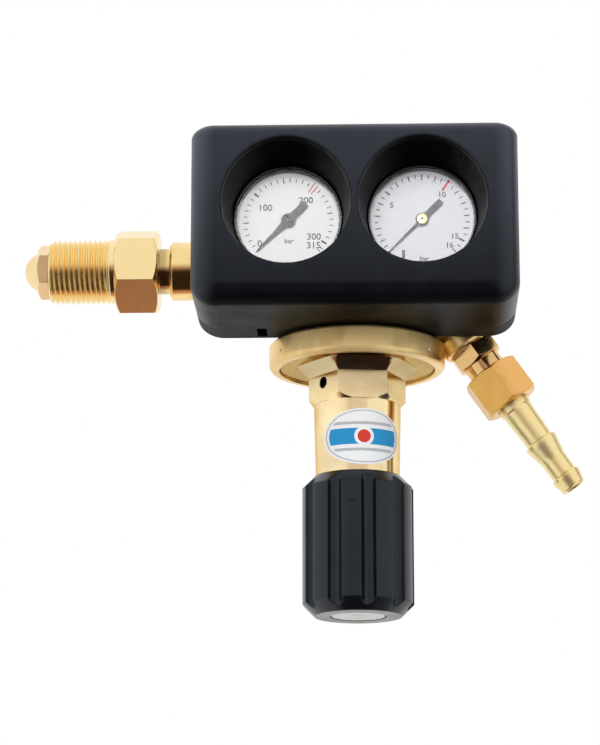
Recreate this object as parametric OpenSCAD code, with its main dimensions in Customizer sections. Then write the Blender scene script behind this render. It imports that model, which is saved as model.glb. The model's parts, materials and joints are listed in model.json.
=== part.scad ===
// Gas cylinder pressure regulator with two gauges in one moulded housing
// Millimetres, +Z up along the bonnet axis, front towards -Y, inlet towards -X.
// The origin is on the inlet axis, where the full diameter of the inlet nut's thread begins.

/* [Inlet] */
// Outside diameter of the inlet nut's thread
thread_d = 22.91; // [21:0.01:25]
// Length of the inlet nut's thread at full diameter
thread_len = 22.6; // [18:0.1:28]
// Lead chamfer on the thread
thread_chamfer = 0.9; // [0.4:0.1:1.5]
// Hexagon of the inlet nut across its flats
nut_af = 27; // [25:0.5:32]
// Turn of the inlet nut's hexagon at rest
nut_turn = -4.5; // [-30:0.5:30]
// Length of the inlet nut's hexagon
nut_hex_len = 15.4; // [11:0.1:20]
// Radius of the nipple's round nose
nose_r = 7.05; // [5:0.05:8]
// Length of the nipple from the nut's face to its tip
nose_reach = 9.5; // [8:0.1:12]
// Hexagon on the nipple across its flats
nipple_af = 17; // [16:0.5:19]
// Turn of the nipple's hexagon
nipple_turn = 6; // [-30:0.5:30]
// Length of the nipple's hexagon
nipple_hex_len = 4.1; // [3:0.1:5]
// Diameter of the nipple's stem inside the nut
nipple_stem_d = 12.4; // [10:0.1:13.5]
// Gas bore of the nipple
inlet_bore_d = 4.5; // [3:0.1:6]
// How far the stem screws into the body
nipple_engagement = 16; // [10:0.5:20]
// Diameter of the neck behind the nut
inlet_neck_d = 16.3; // [15.5:0.1:19]
// Length of the neck
inlet_neck_len = 3.8; // [2:0.1:6]
// Diameter of the inlet boss
inlet_boss_d = 21; // [18:0.1:21.2]
// Reach of the inlet boss from the bonnet axis
inlet_boss_reach = 66.3; // [61:0.1:75]

/* [Body] */
// Outside diameter of the clamping ring
ring_d = 62.2; // [60:0.1:66]
// Height of the ring's top below the inlet axis
ring_drop = 28.2; // [27:0.1:31]
// Height of the ring
ring_h = 9.1; // [8.5:0.1:11]
// Rounding of the ring's lower lip
ring_lip_r = 2; // [1:0.1:2.5]
// Diameter of the body's barrel
barrel_d = 30; // [28:0.5:31]
// Height of the barrel's top above the inlet axis
barrel_top = 15.5; // [13:0.1:20]
// Widest radius of the dome over the diaphragm
dome_r = 28; // [26.5:0.1:28.5]
// Height of the dome's straight foot above the ring
dome_foot = 4.2; // [3:0.1:6]
// Height of the dome's curve
dome_h = 12; // [9:0.1:14]
// Radius of the pressure chamber at the diaphragm
chamber_r = 22; // [18:0.1:22.5]
// Radius of the valve's gas chamber
valve_bore_r = 6; // [5:0.1:7]
// Diameter of the gauge bosses
gauge_boss_d = 18; // [16:0.5:20]

/* [Bonnet] */
// Radius of the bonnet's flange disc
flange_r = 27.45; // [26.8:0.05:27.8]
// Thickness of the flange disc
flange_t = 4; // [3:0.1:5]
// How deep the flange disc sits in the ring
flange_recess = 0.8; // [0.2:0.1:1.5]
// Hexagon of the bonnet across its flats
bonnet_af = 30; // [29:0.5:32]
// Turn of the bonnet's hexagon
bonnet_turn = 7.8; // [0:0.1:30]
// Height of the flare over the hexagon
bonnet_cone_h = 3.6; // [3:0.1:6]
// Radius of the flare at the flange
bonnet_cone_r = 21.6; // [20.5:0.1:25.5]
// How far each flat's flare reaches out at the flange
bonnet_flare = 4.6; // [3:0.1:6]
// Length of the hexagon's flats
bonnet_flat_len = 8.1; // [6:0.1:10]
// Outside radius of the bonnet's tube at its top
tube_top_r = 15.35; // [14.9:0.05:15.6]
// Outside radius of the bonnet's tube inside the knob
tube_low_r = 14.7; // [14.2:0.05:14.8]
// Radius of the spring chamber
spring_bore_r = 12.2; // [11.9:0.05:12.4]
// Diameter of the vent hole
vent_d = 4.2; // [3:0.1:5]

/* [Knob] */
// Outside diameter of the knob
knob_d = 38.9; // [36:0.1:44]
// Length of the knob
knob_len = 49.1; // [46:0.1:56]
// Height of the knob's rim below the inlet axis
knob_drop = 75.8; // [74:0.1:80]
// Chamfer at both ends of the knob
knob_chamfer = 4.2; // [2:0.1:4.2]
// Number of grip flutes
knob_flutes = 10; // [7:1:12]
// Radius of a flute
flute_r = 2.6; // [2:0.1:3.2]
// Depth of a flute
flute_depth = 2.5; // [1.5:0.05:2.8]
// Diameter of the cap in the knob's end
cap_d = 19.4; // [16:0.1:24]
// Depth that the cap sits under the knob's end face
cap_recess = 0.1; // [0.1:0.1:1]

/* [Pressure control] */
// Diameter of the adjusting screw
screw_d = 8; // [6:0.5:9]
// Travel of the spring button over the knob's whole range
button_travel = 6; // [3:0.5:8]
// Wire diameter of the adjusting spring
spring_wire = 3.2; // [2.5:0.1:3.6]
// Mean radius of the adjusting spring
spring_mean_r = 9.2; // [8.5:0.1:9.6]
// Turns of the adjusting spring
spring_turns = 6; // [5:1:8]
// Thickness of the diaphragm
diaphragm_t = 0.8; // [0.5:0.1:1.2]
// Lift of the valve
valve_lift = 0.8; // [0.4:0.1:1]
// Radius of the push pin
pin_r = 1.5; // [1.2:0.1:2]

/* [Housing] */
// Width of the housing
housing_w = 111.2; // [106:0.2:118]
// Height of the housing's top above the inlet axis
housing_top = 35.8; // [31:0.1:38]
// Gap between the ring and the housing's underside
housing_gap = 0.4; // [0.3:0.1:1.5]
// Distance of the housing's front from the bonnet axis
housing_front = 62; // [60:0.1:68]
// Distance of the seam from the bonnet axis
housing_seam = 24.6; // [20:0.1:28]
// Distance of the housing's back from the bonnet axis
housing_back = 10.8; // [10.8:0.1:11.6]
// Wall thickness of the housing
housing_wall = 2.4; // [2:0.1:2.8]
// Depth of the edge rounding, front to back
edge_r = 8; // [6:0.1:10]
// Rounding of the top corners, sideways and upwards
corner_top = [8, 5]; // [3:0.5:9]
// Rounding of the bottom corners, sideways and upwards
corner_bottom = [9.5, 7.5]; // [5:0.5:10]
// Rounding of the back edges
back_edge_r = 1; // [1:0.1:4]
// Radius of a gauge well at its lip
well_r = 21.9; // [20.5:0.1:22]
// Rounding of a well's lip
lip_r = 1.1; // [0.8:0.1:2.2]
// Radius of the window opening
window_hole_r = 18.6; // [17.5:0.1:18.8]

/* [Gauges] */
// Distance of each gauge axis from the bonnet axis
gauge_offset = 23.1; // [22.7:0.1:25]
// Height of the gauge axes above the inlet axis
gauge_z = 7.4; // [4:0.1:10]
// Diameter of a gauge case
case_d = 40; // [39.5:0.1:40.4]
// Distance of the gauge fronts from the bonnet axis
gauge_front = 40; // [38:0.1:42]
// Depth of a gauge case
case_depth = 24; // [22:0.1:24]
// Sheet thickness of the case
case_wall = 0.8; // [0.5:0.1:1]
// Hexagon of the gauge socket across its flats
socket_af = 17; // [16:0.5:19]
// Diameter of the gauge socket's thread
socket_thread_d = 9.7; // [8:0.1:11]
// Radius of the pointer's tip circle
pointer_len = 15; // [12:0.1:16]
// Pointer travel in degrees
pointer_sweep = 270; // [180:5:280]
// Module of the pointer gears
gear_module = 0.4; // [0.35:0.01:0.42]
// Teeth of the pinion
pinion_teeth = 9; // [8:1:10]
// Sector gear teeth for a full circle
sector_teeth = 54; // [50:1:58]

/* [Outlet] */
// Angle of the outlet below the horizontal
outlet_drop = 55; // [45:1:60]
// Distance of the outlet hexagon sideways from the ring
outlet_reach = 11.1; // [10:0.1:15]
// Place of the outlet hexagon below the inlet axis
outlet_z = 31.8; // [28:0.1:34]
// Diameter of the outlet boss
outlet_boss_d = 19; // [17:0.5:20]
// Hexagon of the outlet adapter across its flats
adapter_af = 16; // [15:0.5:18]
// Length of the adapter's hexagon
adapter_hex_len = 6; // [4:0.1:8]
// Gap between the adapter's hexagon and the union nut
adapter_neck_len = 4.4; // [3:0.1:6]
// Hexagon of the union nut across its flats
union_af = 19; // [18.5:0.5:22]
// Length of the union nut
union_len = 14.5; // [12:0.1:18]
// Diameter of the hose tail
tail_d = 10.9; // [9:0.1:11]
// Diameter of the first barb
barb_d = 11.9; // [11.2:0.1:13]
// Diameter at the tip of the hose tail
tip_d = 8.2; // [7.5:0.1:9]
// Gas bore of the hose tail
tail_bore_d = 5.4; // [3:0.1:6]

/* [Relief valve] */
// Hexagon of the relief valve across its flats
relief_af = 14; // [12:0.5:15]
// Height of the relief valve below the inlet axis
relief_drop = 19; // [18:0.1:20]
// Lift of the relief poppet
relief_lift = 1; // [0.5:0.1:1.4]

/* [Fits] */
// Radial gap of a screwed or pushed fit
fit_gap = 0.05; // [0.02:0.01:0.1]
// Radial gap of a turning or sliding fit
run_gap = 0.08; // [0.04:0.01:0.1]
// Gap between faces that turn or slide past each other
face_gap = 0.3; // [0.2:0.05:0.5]

/* [Hidden] */
$fn = 96;
eps = 0.01;

// Places along the inlet axis, measured from the origin
nut_front = -thread_chamfer;
nut_back = thread_len + nut_hex_len;
neck_face = nut_back + face_gap;
bonnet_x = neck_face + inlet_neck_len + inlet_boss_reach;
nipple_bore_r = nipple_stem_d / 2 + fit_gap;
nipple_end = neck_face + nipple_engagement;
seal_t = 1;
filter_r = 4;
filter_len = 8;

// Heights along the bonnet axis
ring_top = -ring_drop;
ring_bottom = ring_top - ring_h;
flange_face = ring_bottom + flange_recess;
flange_top = flange_face + flange_t;
slip_t = 0.8;
diaphragm_z = flange_top + slip_t;
shoulder_z = diaphragm_z + diaphragm_t;
ring_bore_r = flange_r + 0.15;
chamber_top = ring_top + dome_foot;
chamber_top_r = 12;
hex_top = flange_face - 0.2 - bonnet_cone_h;
hex_bottom = hex_top - bonnet_flat_len;
corner_land = 0.12;
hex_corner_r = bonnet_af / 2 / cos(30) - corner_land;
tube_top = hex_bottom - 1.9;
tube_end = knob_drop + 17;
end_wall_t = 6;
chamber_floor = -tube_end + end_wall_t;
knob_top = -knob_drop;
knob_bottom = knob_top - knob_len;
drive_top = -tube_end - 3.2;
web_top = -tube_end - 3.6;
web_low = web_top - 7;
drive_af = 6;
stud_r = 2.5;
cap_t = 2;

// Pressure control, from the knob upwards
collar_t = 2;
collar_z = chamber_floor + face_gap / 2;
button_t = 4;
button_z = collar_z + collar_t + 8;
plate_z = diaphragm_z - face_gap / 2;
plate_t = 2;
spring_low = button_z + button_t;
spring_high = plate_z - plate_t;
key_w = 3;
key_h = 1;

// Valve over the diaphragm
nozzle_top = chamber_top + 11;
nozzle_r = 7.5;
nozzle_flange_t = 2.4;
valve_top = 8;
poppet_bottom = nozzle_top + 0.45;
seat_drop = 0.4;
poppet_head_t = 4;

// Housing
housing_bottom = ring_top + housing_gap;
post_x = housing_w / 2 - 7.1;
post_top_z = housing_top - 7.4;
post_low_z = housing_bottom + 7.7;
post_r = 4;
screw_shank_r = 1.5;
screw_head_r = 2.9;
screw_len = 22;
body_hole_gap = 1;

// Gauges, with depth measured forwards from the bonnet axis
gauge_back = gauge_front - case_depth;
gauge_face = housing_back;
cover_inner = housing_back + housing_wall;
window_t = 1.2;
rim_t = 0.4;
window_front = gauge_front - rim_t;
dial_front = gauge_front - 4;
dial_t = 0.4;
dial_r = case_d / 2 - case_wall - 0.3;
movement_front = dial_front - dial_t - 0.7;
plate_sheet = 0.7;
movement_gap = 3;
movement_back = movement_front - 2 * plate_sheet - movement_gap;
sector_t = 1;
sector_front = movement_front - plate_sheet - 1;
window_low_r = 4;
window_high_r = 9;
balance_gap = 0.7;
balance_t = 2;
balance_front = sector_front + (balance_t - sector_t) / 2;
pinion_t = 2;
pinion_front = sector_front + (pinion_t - sector_t) / 2;
arbor_r = 0.6;
pitch_pinion = gear_module * pinion_teeth / 2;
pitch_sector = gear_module * sector_teeth / 2;
gear_distance = pitch_pinion + pitch_sector;
balance_r = case_d / 2 - case_wall - gear_distance - balance_gap;
gear_ratio = sector_teeth / pinion_teeth;
sector_swing = pointer_sweep / gear_ratio;
pointer_z = dial_front + 0.9;
pointer_t = 0.4;
zero_angle = -135;
tube_r = 14.4;
socket_collar_r = 7;

// Outlet, with lengths measured along its own axis from the adapter's hexagon
outlet_x = ring_d / 2 + outlet_reach;
outlet_seal_r = 7.6;
union_turn = 30;
adapter_turn = 35;
boss_end = -adapter_hex_len / 2 - 0.6;
adapter_hex_end = adapter_hex_len / 2;
union_start = adapter_hex_end + adapter_neck_len;
union_end = union_start + union_len;
union_bore_r = 8.25;
union_wall = 3.5;
adapter_end = union_end - union_wall - 1.5;
barb_1 = union_end + 15.9;
barb_2 = barb_1 + 14.8;
tail_end = barb_2 + 5.8;
port_r = 2;
gas_hole_r = 1.2;
outlet_port_x = 16;
outlet_port_turn = 50;
outlet_port_len = 22;
adapter_bore_r = port_r + 0.6;
adapter_thread_r = 6.65;
adapter_neck_r = 6.8;

// Relief valve, with depth measured backwards from the bonnet axis
relief_face = dome_r + 1.5;
relief_bore_r = 4;
relief_stem_r = relief_bore_r + 0.8;
relief_hole_r = 1.5;
relief_port_y = 17.5;
relief_hex_len = 9;
relief_end = relief_face + relief_hex_len;
relief_seat = relief_face - 4.5;
relief_disc_top = relief_seat + 2.6;
relief_cap_low = relief_end - 2.6;

// Shared shapes

module on_bonnet() {
    translate([bonnet_x, 0, 0]) children();
}

// Local z points forwards out of a gauge, local y points up
module on_gauge(side) {
    translate([bonnet_x + side * gauge_offset, 0, gauge_z]) rotate([90, 0, 0]) children();
}

// Local z points out of the outlet
module on_outlet() {
    translate([bonnet_x + outlet_x, 0, -outlet_z]) rotate([0, 90 + outlet_drop, 0]) children();
}

// Local z points backwards out of the relief valve
module on_relief() {
    translate([bonnet_x, 0, -relief_drop]) rotate([-90, 0, 0]) children();
}

// Local z points along +X from the origin
module along_inlet() {
    rotate([0, 90, 0]) children();
}

module tube(r_out, r_in, z_low, z_high) {
    translate([0, 0, z_low]) difference() {
        cylinder(r = r_out, h = z_high - z_low);
        translate([0, 0, -1]) cylinder(r = r_in, h = z_high - z_low + 2);
    }
}

module rod(r, z_low, z_high) {
    translate([0, 0, z_low]) cylinder(r = r, h = z_high - z_low);
}

module hexagon(af, z_low, z_high) {
    translate([0, 0, z_low]) cylinder(r = af / 2 / cos(30), h = z_high - z_low, $fn = 6);
}

// Hexagon whose corners are turned off at 30 degrees, at the low end, the high end or both
module turned_hexagon(af, z_low, z_high, low, high) {
    corner = af / 2 / cos(30);
    start = af / 2 - 0.3;
    drop = (corner - start) * tan(30);
    reach = corner + 1;
    rise = (reach - start) * tan(30);
    intersection() {
        hexagon(af, z_low, z_high);
        rotate_extrude() polygon([
            [0, z_low],
            [low ? start : reach, z_low],
            [reach, low ? z_low + rise : z_low],
            [reach, high ? z_high - rise : z_high],
            [high ? start : reach, z_high],
            [0, z_high]
        ]);
    }
}

// Helical wire with closed, level ends between two heights
function coil_lift(t, turns, closed) =
    t < closed ? 0 : t > turns - closed ? 1 : (t - closed) / (turns - 2 * closed);

module coil(mean_r, wire_r, turns, z_low, z_high, steps = 20, sides = 8) {
    closed = 0.7;
    rise = z_high - z_low - 2 * wire_r;
    n = turns * steps;
    rings = [for (i = [0:n]) let (
        t = i / steps,
        a = 360 * t,
        z = z_low + wire_r + rise * coil_lift(t, turns, closed)
    ) [a, z]];
    points = [for (p = rings) for (k = [0:sides - 1]) let (
        b = 360 * k / sides,
        r = mean_r + wire_r * cos(b)
    ) [r * cos(p[0]), r * sin(p[0]), p[1] + wire_r * sin(b)]];
    side_faces = [for (i = [0:n - 1]) for (k = [0:sides - 1]) let (
        k2 = (k + 1) % sides
    ) [i * sides + k, i * sides + k2, (i + 1) * sides + k2, (i + 1) * sides + k]];
    start_face = [[for (k = [sides - 1:-1:0]) k]];
    end_face = [[for (k = [0:sides - 1]) n * sides + k]];
    polyhedron(points, concat(side_faces, start_face, end_face), convexity = 8);
}

// Involute gear outline, from tooth first to tooth last, closed through the hub
function involute(a) = tan(a) - a * PI / 180;

function flank_angle(r, pitch, teeth, slack) = let (
    base = pitch * cos(20),
    a = r > base ? acos(base / r) : 0
) 90 / teeth - slack + (involute(20) - involute(a)) * 180 / PI;

function gear_points(teeth, first, last, addendum, dedendum, slack) = let (
    pitch = gear_module * teeth / 2,
    base = pitch * cos(20),
    root = pitch - dedendum,
    tip = pitch + addendum,
    low = max(root, base),
    radii = [root, low + 0.01, (low + tip) / 2, tip]
) [for (i = [first:last]) each concat(
    [for (r = radii) let (a = i * 360 / teeth - flank_angle(r, pitch, teeth, slack))
        [r * cos(a), r * sin(a)]],
    [for (k = [len(radii) - 1:-1:0]) let (
        r = radii[k],
        a = i * 360 / teeth + flank_angle(r, pitch, teeth, slack)
    ) [r * cos(a), r * sin(a)]]
)];

// Inlet

module inlet_nut() {
    stem_hole = nipple_stem_d / 2 + run_gap;
    color("goldenrod") along_inlet() difference() {
        union() {
            translate([0, 0, nut_front])
                cylinder(r1 = thread_d / 2 - thread_chamfer, r2 = thread_d / 2, h = thread_chamfer);
            rod(thread_d / 2, 0, thread_len + 0.5);
            rotate([0, 0, nut_turn]) turned_hexagon(nut_af, thread_len, nut_back, true, true);
        }
        rod(stem_hole, nut_front - 1, nut_back + 1);
    }
}

module inlet_nipple() {
    collar_back = nut_front - face_gap;
    collar_front = collar_back - nipple_hex_len;
    tip = nut_front - nose_reach;
    color("gold") along_inlet() difference() {
        union() {
            intersection() {
                translate([0, 0, tip + nose_r]) sphere(r = nose_r);
                rod(nose_r + 1, tip - 1, tip + nose_r + eps);
            }
            rod(nose_r, tip + nose_r, collar_back - 1);
            rotate([0, 0, nipple_turn])
                turned_hexagon(nipple_af, collar_front, collar_back, true, false);
            rod(nipple_stem_d / 2, collar_back - 1, nipple_end);
        }
        rod(inlet_bore_d / 2, tip - 1, nipple_end + 1);
    }
}

module nipple_seal() {
    color("peru") along_inlet()
        tube(nipple_stem_d / 2, filter_r + fit_gap, nipple_end, nipple_end + seal_t);
}

module inlet_filter() {
    start = nipple_end + seal_t;
    color("darkgoldenrod") along_inlet() union() {
        rod(filter_r, start, start + filter_len - 1);
        translate([0, 0, start + filter_len - 1])
            cylinder(r1 = filter_r, r2 = filter_r - 1.5, h = 1);
    }
}

// Body

// Quarter ellipse of the dome from the barrel down to the foot, moved outwards by a gap
function dome_curve(gap, steps) = [for (i = [0:steps]) let (a = 90 - 90 * i / steps) [
    barrel_d / 2 + gap + (dome_r - barrel_d / 2) * cos(a),
    ring_top + dome_foot + (dome_h + gap) * sin(a)
]];

// Half section of the ring, the dome and the barrel
module body_profile() {
    barrel_r = barrel_d / 2;
    steps = 16;
    polygon(concat(
        [[0, barrel_top], [barrel_r - 1.5, barrel_top], [barrel_r, barrel_top - 1.5]],
        dome_curve(0, steps),
        [[dome_r, ring_top], [ring_d / 2 - 0.8, ring_top], [ring_d / 2, ring_top - 0.8]],
        [for (i = [0:6]) let (a = -90 * i / 6)
            [ring_d / 2 - ring_lip_r + ring_lip_r * cos(a),
             ring_bottom + ring_lip_r + ring_lip_r * sin(a)]],
        [[0, ring_bottom]]
    ));
}

// Bored chambers around the bonnet axis
module body_chambers() {
    rod(ring_bore_r, ring_bottom - 1, shoulder_z);
    translate([0, 0, shoulder_z - eps])
        cylinder(r1 = chamber_r, r2 = chamber_top_r, h = chamber_top - shoulder_z + eps);
    rod(nozzle_r + fit_gap, chamber_top - 1, nozzle_top + 1);
    rod(valve_bore_r, nozzle_top, valve_top);
}

module stake_mark(turn, height) {
    rotate([0, 0, turn]) translate([0, -ring_d / 2 + 0.2, ring_bottom + height])
        rotate([90, 0, 0]) cylinder(r1 = 0.7, r2 = 1.5, h = 1);
}

module body() {
    low_port_x = (valve_bore_r + barrel_d / 2) / 2;
    color("gold") difference() {
        union() {
            on_bonnet() rotate_extrude() body_profile();
            along_inlet() {
                rod(inlet_neck_d / 2, neck_face, neck_face + inlet_neck_len + 1);
                translate([0, 0, bonnet_x - inlet_boss_reach])
                    cylinder(r1 = inlet_boss_d / 2 - 0.8, r2 = inlet_boss_d / 2, h = 0.8);
                rod(inlet_boss_d / 2, bonnet_x - inlet_boss_reach + 0.8, bonnet_x);
            }
            for (side = [-1, 1]) on_gauge(side) rod(gauge_boss_d / 2, -6, gauge_face);
            on_bonnet() translate([0, 0, gauge_z]) rotate([0, 90, 0])
                rod(6, -gauge_offset, gauge_offset);
            on_outlet() {
                rod(outlet_boss_d / 2, -46, boss_end - 0.8);
                translate([0, 0, boss_end - 0.8])
                    cylinder(r1 = outlet_boss_d / 2, r2 = outlet_boss_d / 2 - 0.8, h = 0.8);
            }
            on_relief() rod(relief_af / 2 + 0.5, 14, relief_face);
        }
        on_bonnet() body_chambers();
        on_bonnet() stake_mark(-58, 4.4);
        on_bonnet() stake_mark(54, 2.8);
        along_inlet() {
            rod(nipple_bore_r, neck_face - 1, nipple_end + seal_t);
            rod(filter_r + fit_gap, nipple_end, nipple_end + seal_t + filter_len);
            rod(port_r, nipple_end + seal_t, bonnet_x);
        }
        for (side = [-1, 1]) on_gauge(side)
            rod(socket_thread_d / 2 + fit_gap, gauge_face - 9.5, gauge_face + 1);
        for (side = [-1, 1]) on_gauge(side) rod(gas_hole_r, 0, gauge_face);
        // inlet pressure to the left gauge
        translate([bonnet_x - gauge_offset, 0, 0]) rod(gas_hole_r, 0, gauge_z);
        // outlet pressure to the right gauge
        on_bonnet() translate([low_port_x, 0, 0]) rod(gas_hole_r, chamber_top - 2, gauge_z);
        on_bonnet() translate([low_port_x, 0, gauge_z]) rotate([0, 90, 0])
            rod(gas_hole_r, 0, gauge_offset - low_port_x);
        on_outlet() {
            rod(adapter_thread_r + fit_gap, boss_end - 11, boss_end + 1);
            rod(adapter_bore_r, -24, boss_end);
        }
        // outlet port from the chamber's roof
        on_bonnet() translate([outlet_port_x, 0, shoulder_z + 1]) rotate([0, outlet_port_turn, 0])
            rod(port_r, 0, outlet_port_len);
        on_relief() rod(relief_stem_r + fit_gap, relief_face - 7, relief_face + 1);
        on_relief() rod(gas_hole_r, relief_port_y - gas_hole_r, relief_face);
        on_bonnet() translate([0, relief_port_y, 0]) rod(gas_hole_r, shoulder_z + 1, -relief_drop);
    }
}

// Bonnet

// Turned outside of the bonnet round a core that the hexagon covers
module bonnet_outside() {
    step = 0.3;
    core_r = bonnet_af / 2 - 0.3;
    polygon([
        [0, flange_top],
        [flange_r, flange_top],
        [flange_r, flange_face + step],
        [flange_r - step, flange_face],
        [core_r, flange_face],
        [core_r, tube_top],
        [tube_top_r, tube_top],
        [tube_low_r, knob_top],
        [tube_low_r, -tube_end + 0.8],
        [tube_low_r - 0.8, -tube_end],
        [0, -tube_end]
    ]);
}

// Round blank of the hexagon, which flares up to the flange and tapers down to the tube
module hexagon_blank() {
    root = 0.2;
    polygon([
        [0, flange_face + root],
        [bonnet_cone_r, flange_face + root],
        [bonnet_cone_r, flange_face - root],
        [hex_corner_r, hex_top],
        [hex_corner_r, hex_bottom],
        [tube_top_r - 0.1, tube_top - 0.1],
        [0, tube_top - 0.1]
    ]);
}

// Six flats that lean outwards under the flange
module bonnet_flats() {
    rise = flange_face - hex_top;
    over = 1;
    flat = bonnet_af / 2;
    foot = flat + bonnet_flare * (rise + over) / rise;
    hexagon(bonnet_af, tube_top - 1, hex_top + 0.2);
    translate([0, 0, hex_top])
        cylinder(r1 = flat / cos(30), r2 = foot / cos(30), h = rise + over, $fn = 6);
}

// Spring chamber with its wide mouth under the diaphragm
module spring_chamber() {
    mouth_r = spring_bore_r + 9;
    polygon([
        [0, chamber_floor],
        [spring_bore_r, chamber_floor],
        [spring_bore_r, hex_top],
        [mouth_r, flange_top],
        [mouth_r, flange_top + 1],
        [0, flange_top + 1]
    ]);
}

module bonnet() {
    color("gold") on_bonnet() difference() {
        union() {
            rotate_extrude() bonnet_outside();
            intersection() {
                rotate([0, 0, bonnet_turn]) bonnet_flats();
                rotate_extrude() hexagon_blank();
            }
        }
        rotate_extrude() spring_chamber();
        rod(screw_d / 2 + run_gap, -tube_end - 1, chamber_floor + 1);
        rotate([0, 0, bonnet_turn - 60]) translate([0, 0, hex_top - 3.1]) rotate([90, 0, 0])
            rod(vent_d / 2, spring_bore_r - 1, bonnet_af / 2 + 6);
        // keyway that stops the spring button from turning
        translate([-key_w / 2, 0, chamber_floor])
            cube([key_w, spring_bore_r + key_h, hex_top - chamber_floor]);
    }
}

module slip_ring() {
    color("darkgoldenrod") on_bonnet()
        tube(flange_r - 0.3, spring_bore_r + 9.6, flange_top, diaphragm_z);
}

module diaphragm() {
    color("dimgray") on_bonnet()
        tube(flange_r - 0.3, pin_r + fit_gap, diaphragm_z, shoulder_z);
}

// Moving stack under the valve

module diaphragm_plate() {
    color("silver") on_bonnet() difference() {
        union() {
            rod(17, plate_z - plate_t, plate_z);
            rod(spring_mean_r - spring_wire / 2 - 0.3, plate_z - plate_t - 2.5, plate_z);
        }
        rod(pin_r + fit_gap, plate_z - plate_t - 3, plate_z + 1);
    }
}

module push_pin() {
    low = plate_z - plate_t - 2.5;
    color("lightgray") on_bonnet() union() {
        rod(pin_r, low, nozzle_top - 3);
        rod(0.8, nozzle_top - 3 - eps, poppet_bottom - seat_drop - fit_gap);
        rod(7, shoulder_z + face_gap / 2, shoulder_z + face_gap / 2 + 1.4);
    }
}

module adjusting_spring() {
    color("dimgray") on_bonnet()
        coil(spring_mean_r, spring_wire / 2, spring_turns, spring_low + 0.1, spring_high - 0.1);
}

module spring_button() {
    color("goldenrod") on_bonnet() difference() {
        union() {
            rod(spring_bore_r - run_gap, button_z, button_z + button_t);
            rod(spring_mean_r - spring_wire / 2 - 0.3, button_z, button_z + button_t + 3);
            translate([-key_w / 2 + 0.1, 0, button_z])
                cube([key_w - 0.2, spring_bore_r + key_h - 0.15, button_t]);
        }
        rod(screw_d / 2 + run_gap, button_z - 1, button_z + button_t + 4);
    }
}

module adjusting_screw() {
    color("lightgray") on_bonnet() union() {
        rod(screw_d / 2, drive_top, button_z + button_t + button_travel + 3);
        rod(7, collar_z, collar_z + collar_t);
        hexagon(drive_af, web_low + 0.3, drive_top + eps);
        rod(stud_r, web_low - 5.6, web_low + 0.3 + eps);
    }
}

module screw_retainer() {
    color("dimgray") on_bonnet()
        tube(6, screw_d / 2 + fit_gap, -tube_end - face_gap - 1, -tube_end - face_gap);
}

// Knob

module knob() {
    r = knob_d / 2;
    rim = r - knob_chamfer;
    cap_z = knob_bottom + cap_recess + cap_t;
    inner_r = tube_low_r + 0.35;
    flute_at = r - flute_depth + flute_r;
    flute_turn = 11.9;
    color([0.1, 0.1, 0.11]) on_bonnet() difference() {
        rotate_extrude() polygon([
            [0, knob_top], [rim, knob_top], [r, knob_top - knob_chamfer],
            [r, knob_bottom + knob_chamfer], [rim, knob_bottom], [0, knob_bottom]
        ]);
        for (i = [0:knob_flutes - 1]) rotate([0, 0, flute_turn + 360 * i / knob_flutes])
            translate([0, -flute_at, 0]) rod(flute_r, knob_bottom - 1, knob_top + 1);
        rod(inner_r, web_top, knob_top + 1);
        hexagon(drive_af + 2 * fit_gap, web_low - 1, web_top + 1);
        rod(8, cap_z - 1, web_low);
        rod(cap_d / 2 + fit_gap, knob_bottom - 1, cap_z);
    }
}

module knob_nut() {
    color("silver") on_bonnet() difference() {
        hexagon(8, web_low - 4, web_low);
        rod(stud_r + fit_gap, web_low - 5, web_low + 1);
    }
}

module knob_cap() {
    low = knob_bottom + cap_recess;
    color("silver") on_bonnet() union() {
        translate([0, 0, low]) cylinder(r1 = cap_d / 2 - 0.5, r2 = cap_d / 2, h = 0.5);
        rod(cap_d / 2, low + 0.5 - eps, low + cap_t);
    }
}

// Valve

module valve_nozzle() {
    flange_top_z = chamber_top - 0.8;
    color("goldenrod") on_bonnet() difference() {
        union() {
            rod(nozzle_r, flange_top_z - eps, nozzle_top - 1.5);
            translate([0, 0, nozzle_top - 1.5])
                cylinder(r1 = valve_bore_r - 0.6, r2 = 2.6, h = 1.5);
            hexagon(17, flange_top_z - nozzle_flange_t, flange_top_z);
        }
        rod(pin_r + 0.5, flange_top_z - 5, nozzle_top - 2.5);
        rod(1.5, nozzle_top - 3, nozzle_top + 1);
    }
}

module nozzle_seal() {
    color("peru") on_bonnet() tube(9.6, nozzle_r + fit_gap, chamber_top - 0.8, chamber_top);
}

module valve_poppet() {
    color("goldenrod") on_bonnet() difference() {
        union() {
            hexagon(9.8, poppet_bottom, poppet_bottom + poppet_head_t);
            rod(2.4, poppet_bottom + poppet_head_t - eps, valve_top - valve_lift - face_gap);
        }
        rod(3, poppet_bottom - 1, poppet_bottom + 1.6);
    }
}

module poppet_seat() {
    color("ivory") on_bonnet() rod(3 - fit_gap, poppet_bottom - seat_drop, poppet_bottom + 1.6);
}

module valve_spring() {
    color("dimgray") on_bonnet()
        coil(3.3, 0.4, 6, poppet_bottom + poppet_head_t + 0.1, valve_top - 0.1, 16, 6);
}

// Housing

// Ball whose faceted surface reaches its full radius along each axis
module corner_ball(rx, ry, rz) {
    sides = 40;
    full = 1 / cos(180 / sides);
    scale([rx * full, ry * full, rz * full]) sphere(r = 1, $fn = sides);
}

// Thin elliptical disc that faces forwards
module corner_disc(rx, rz) {
    scale([rx, 1, rz]) rotate([90, 0, 0]) cylinder(r = 1, h = 0.5, $fn = 40);
}

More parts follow.
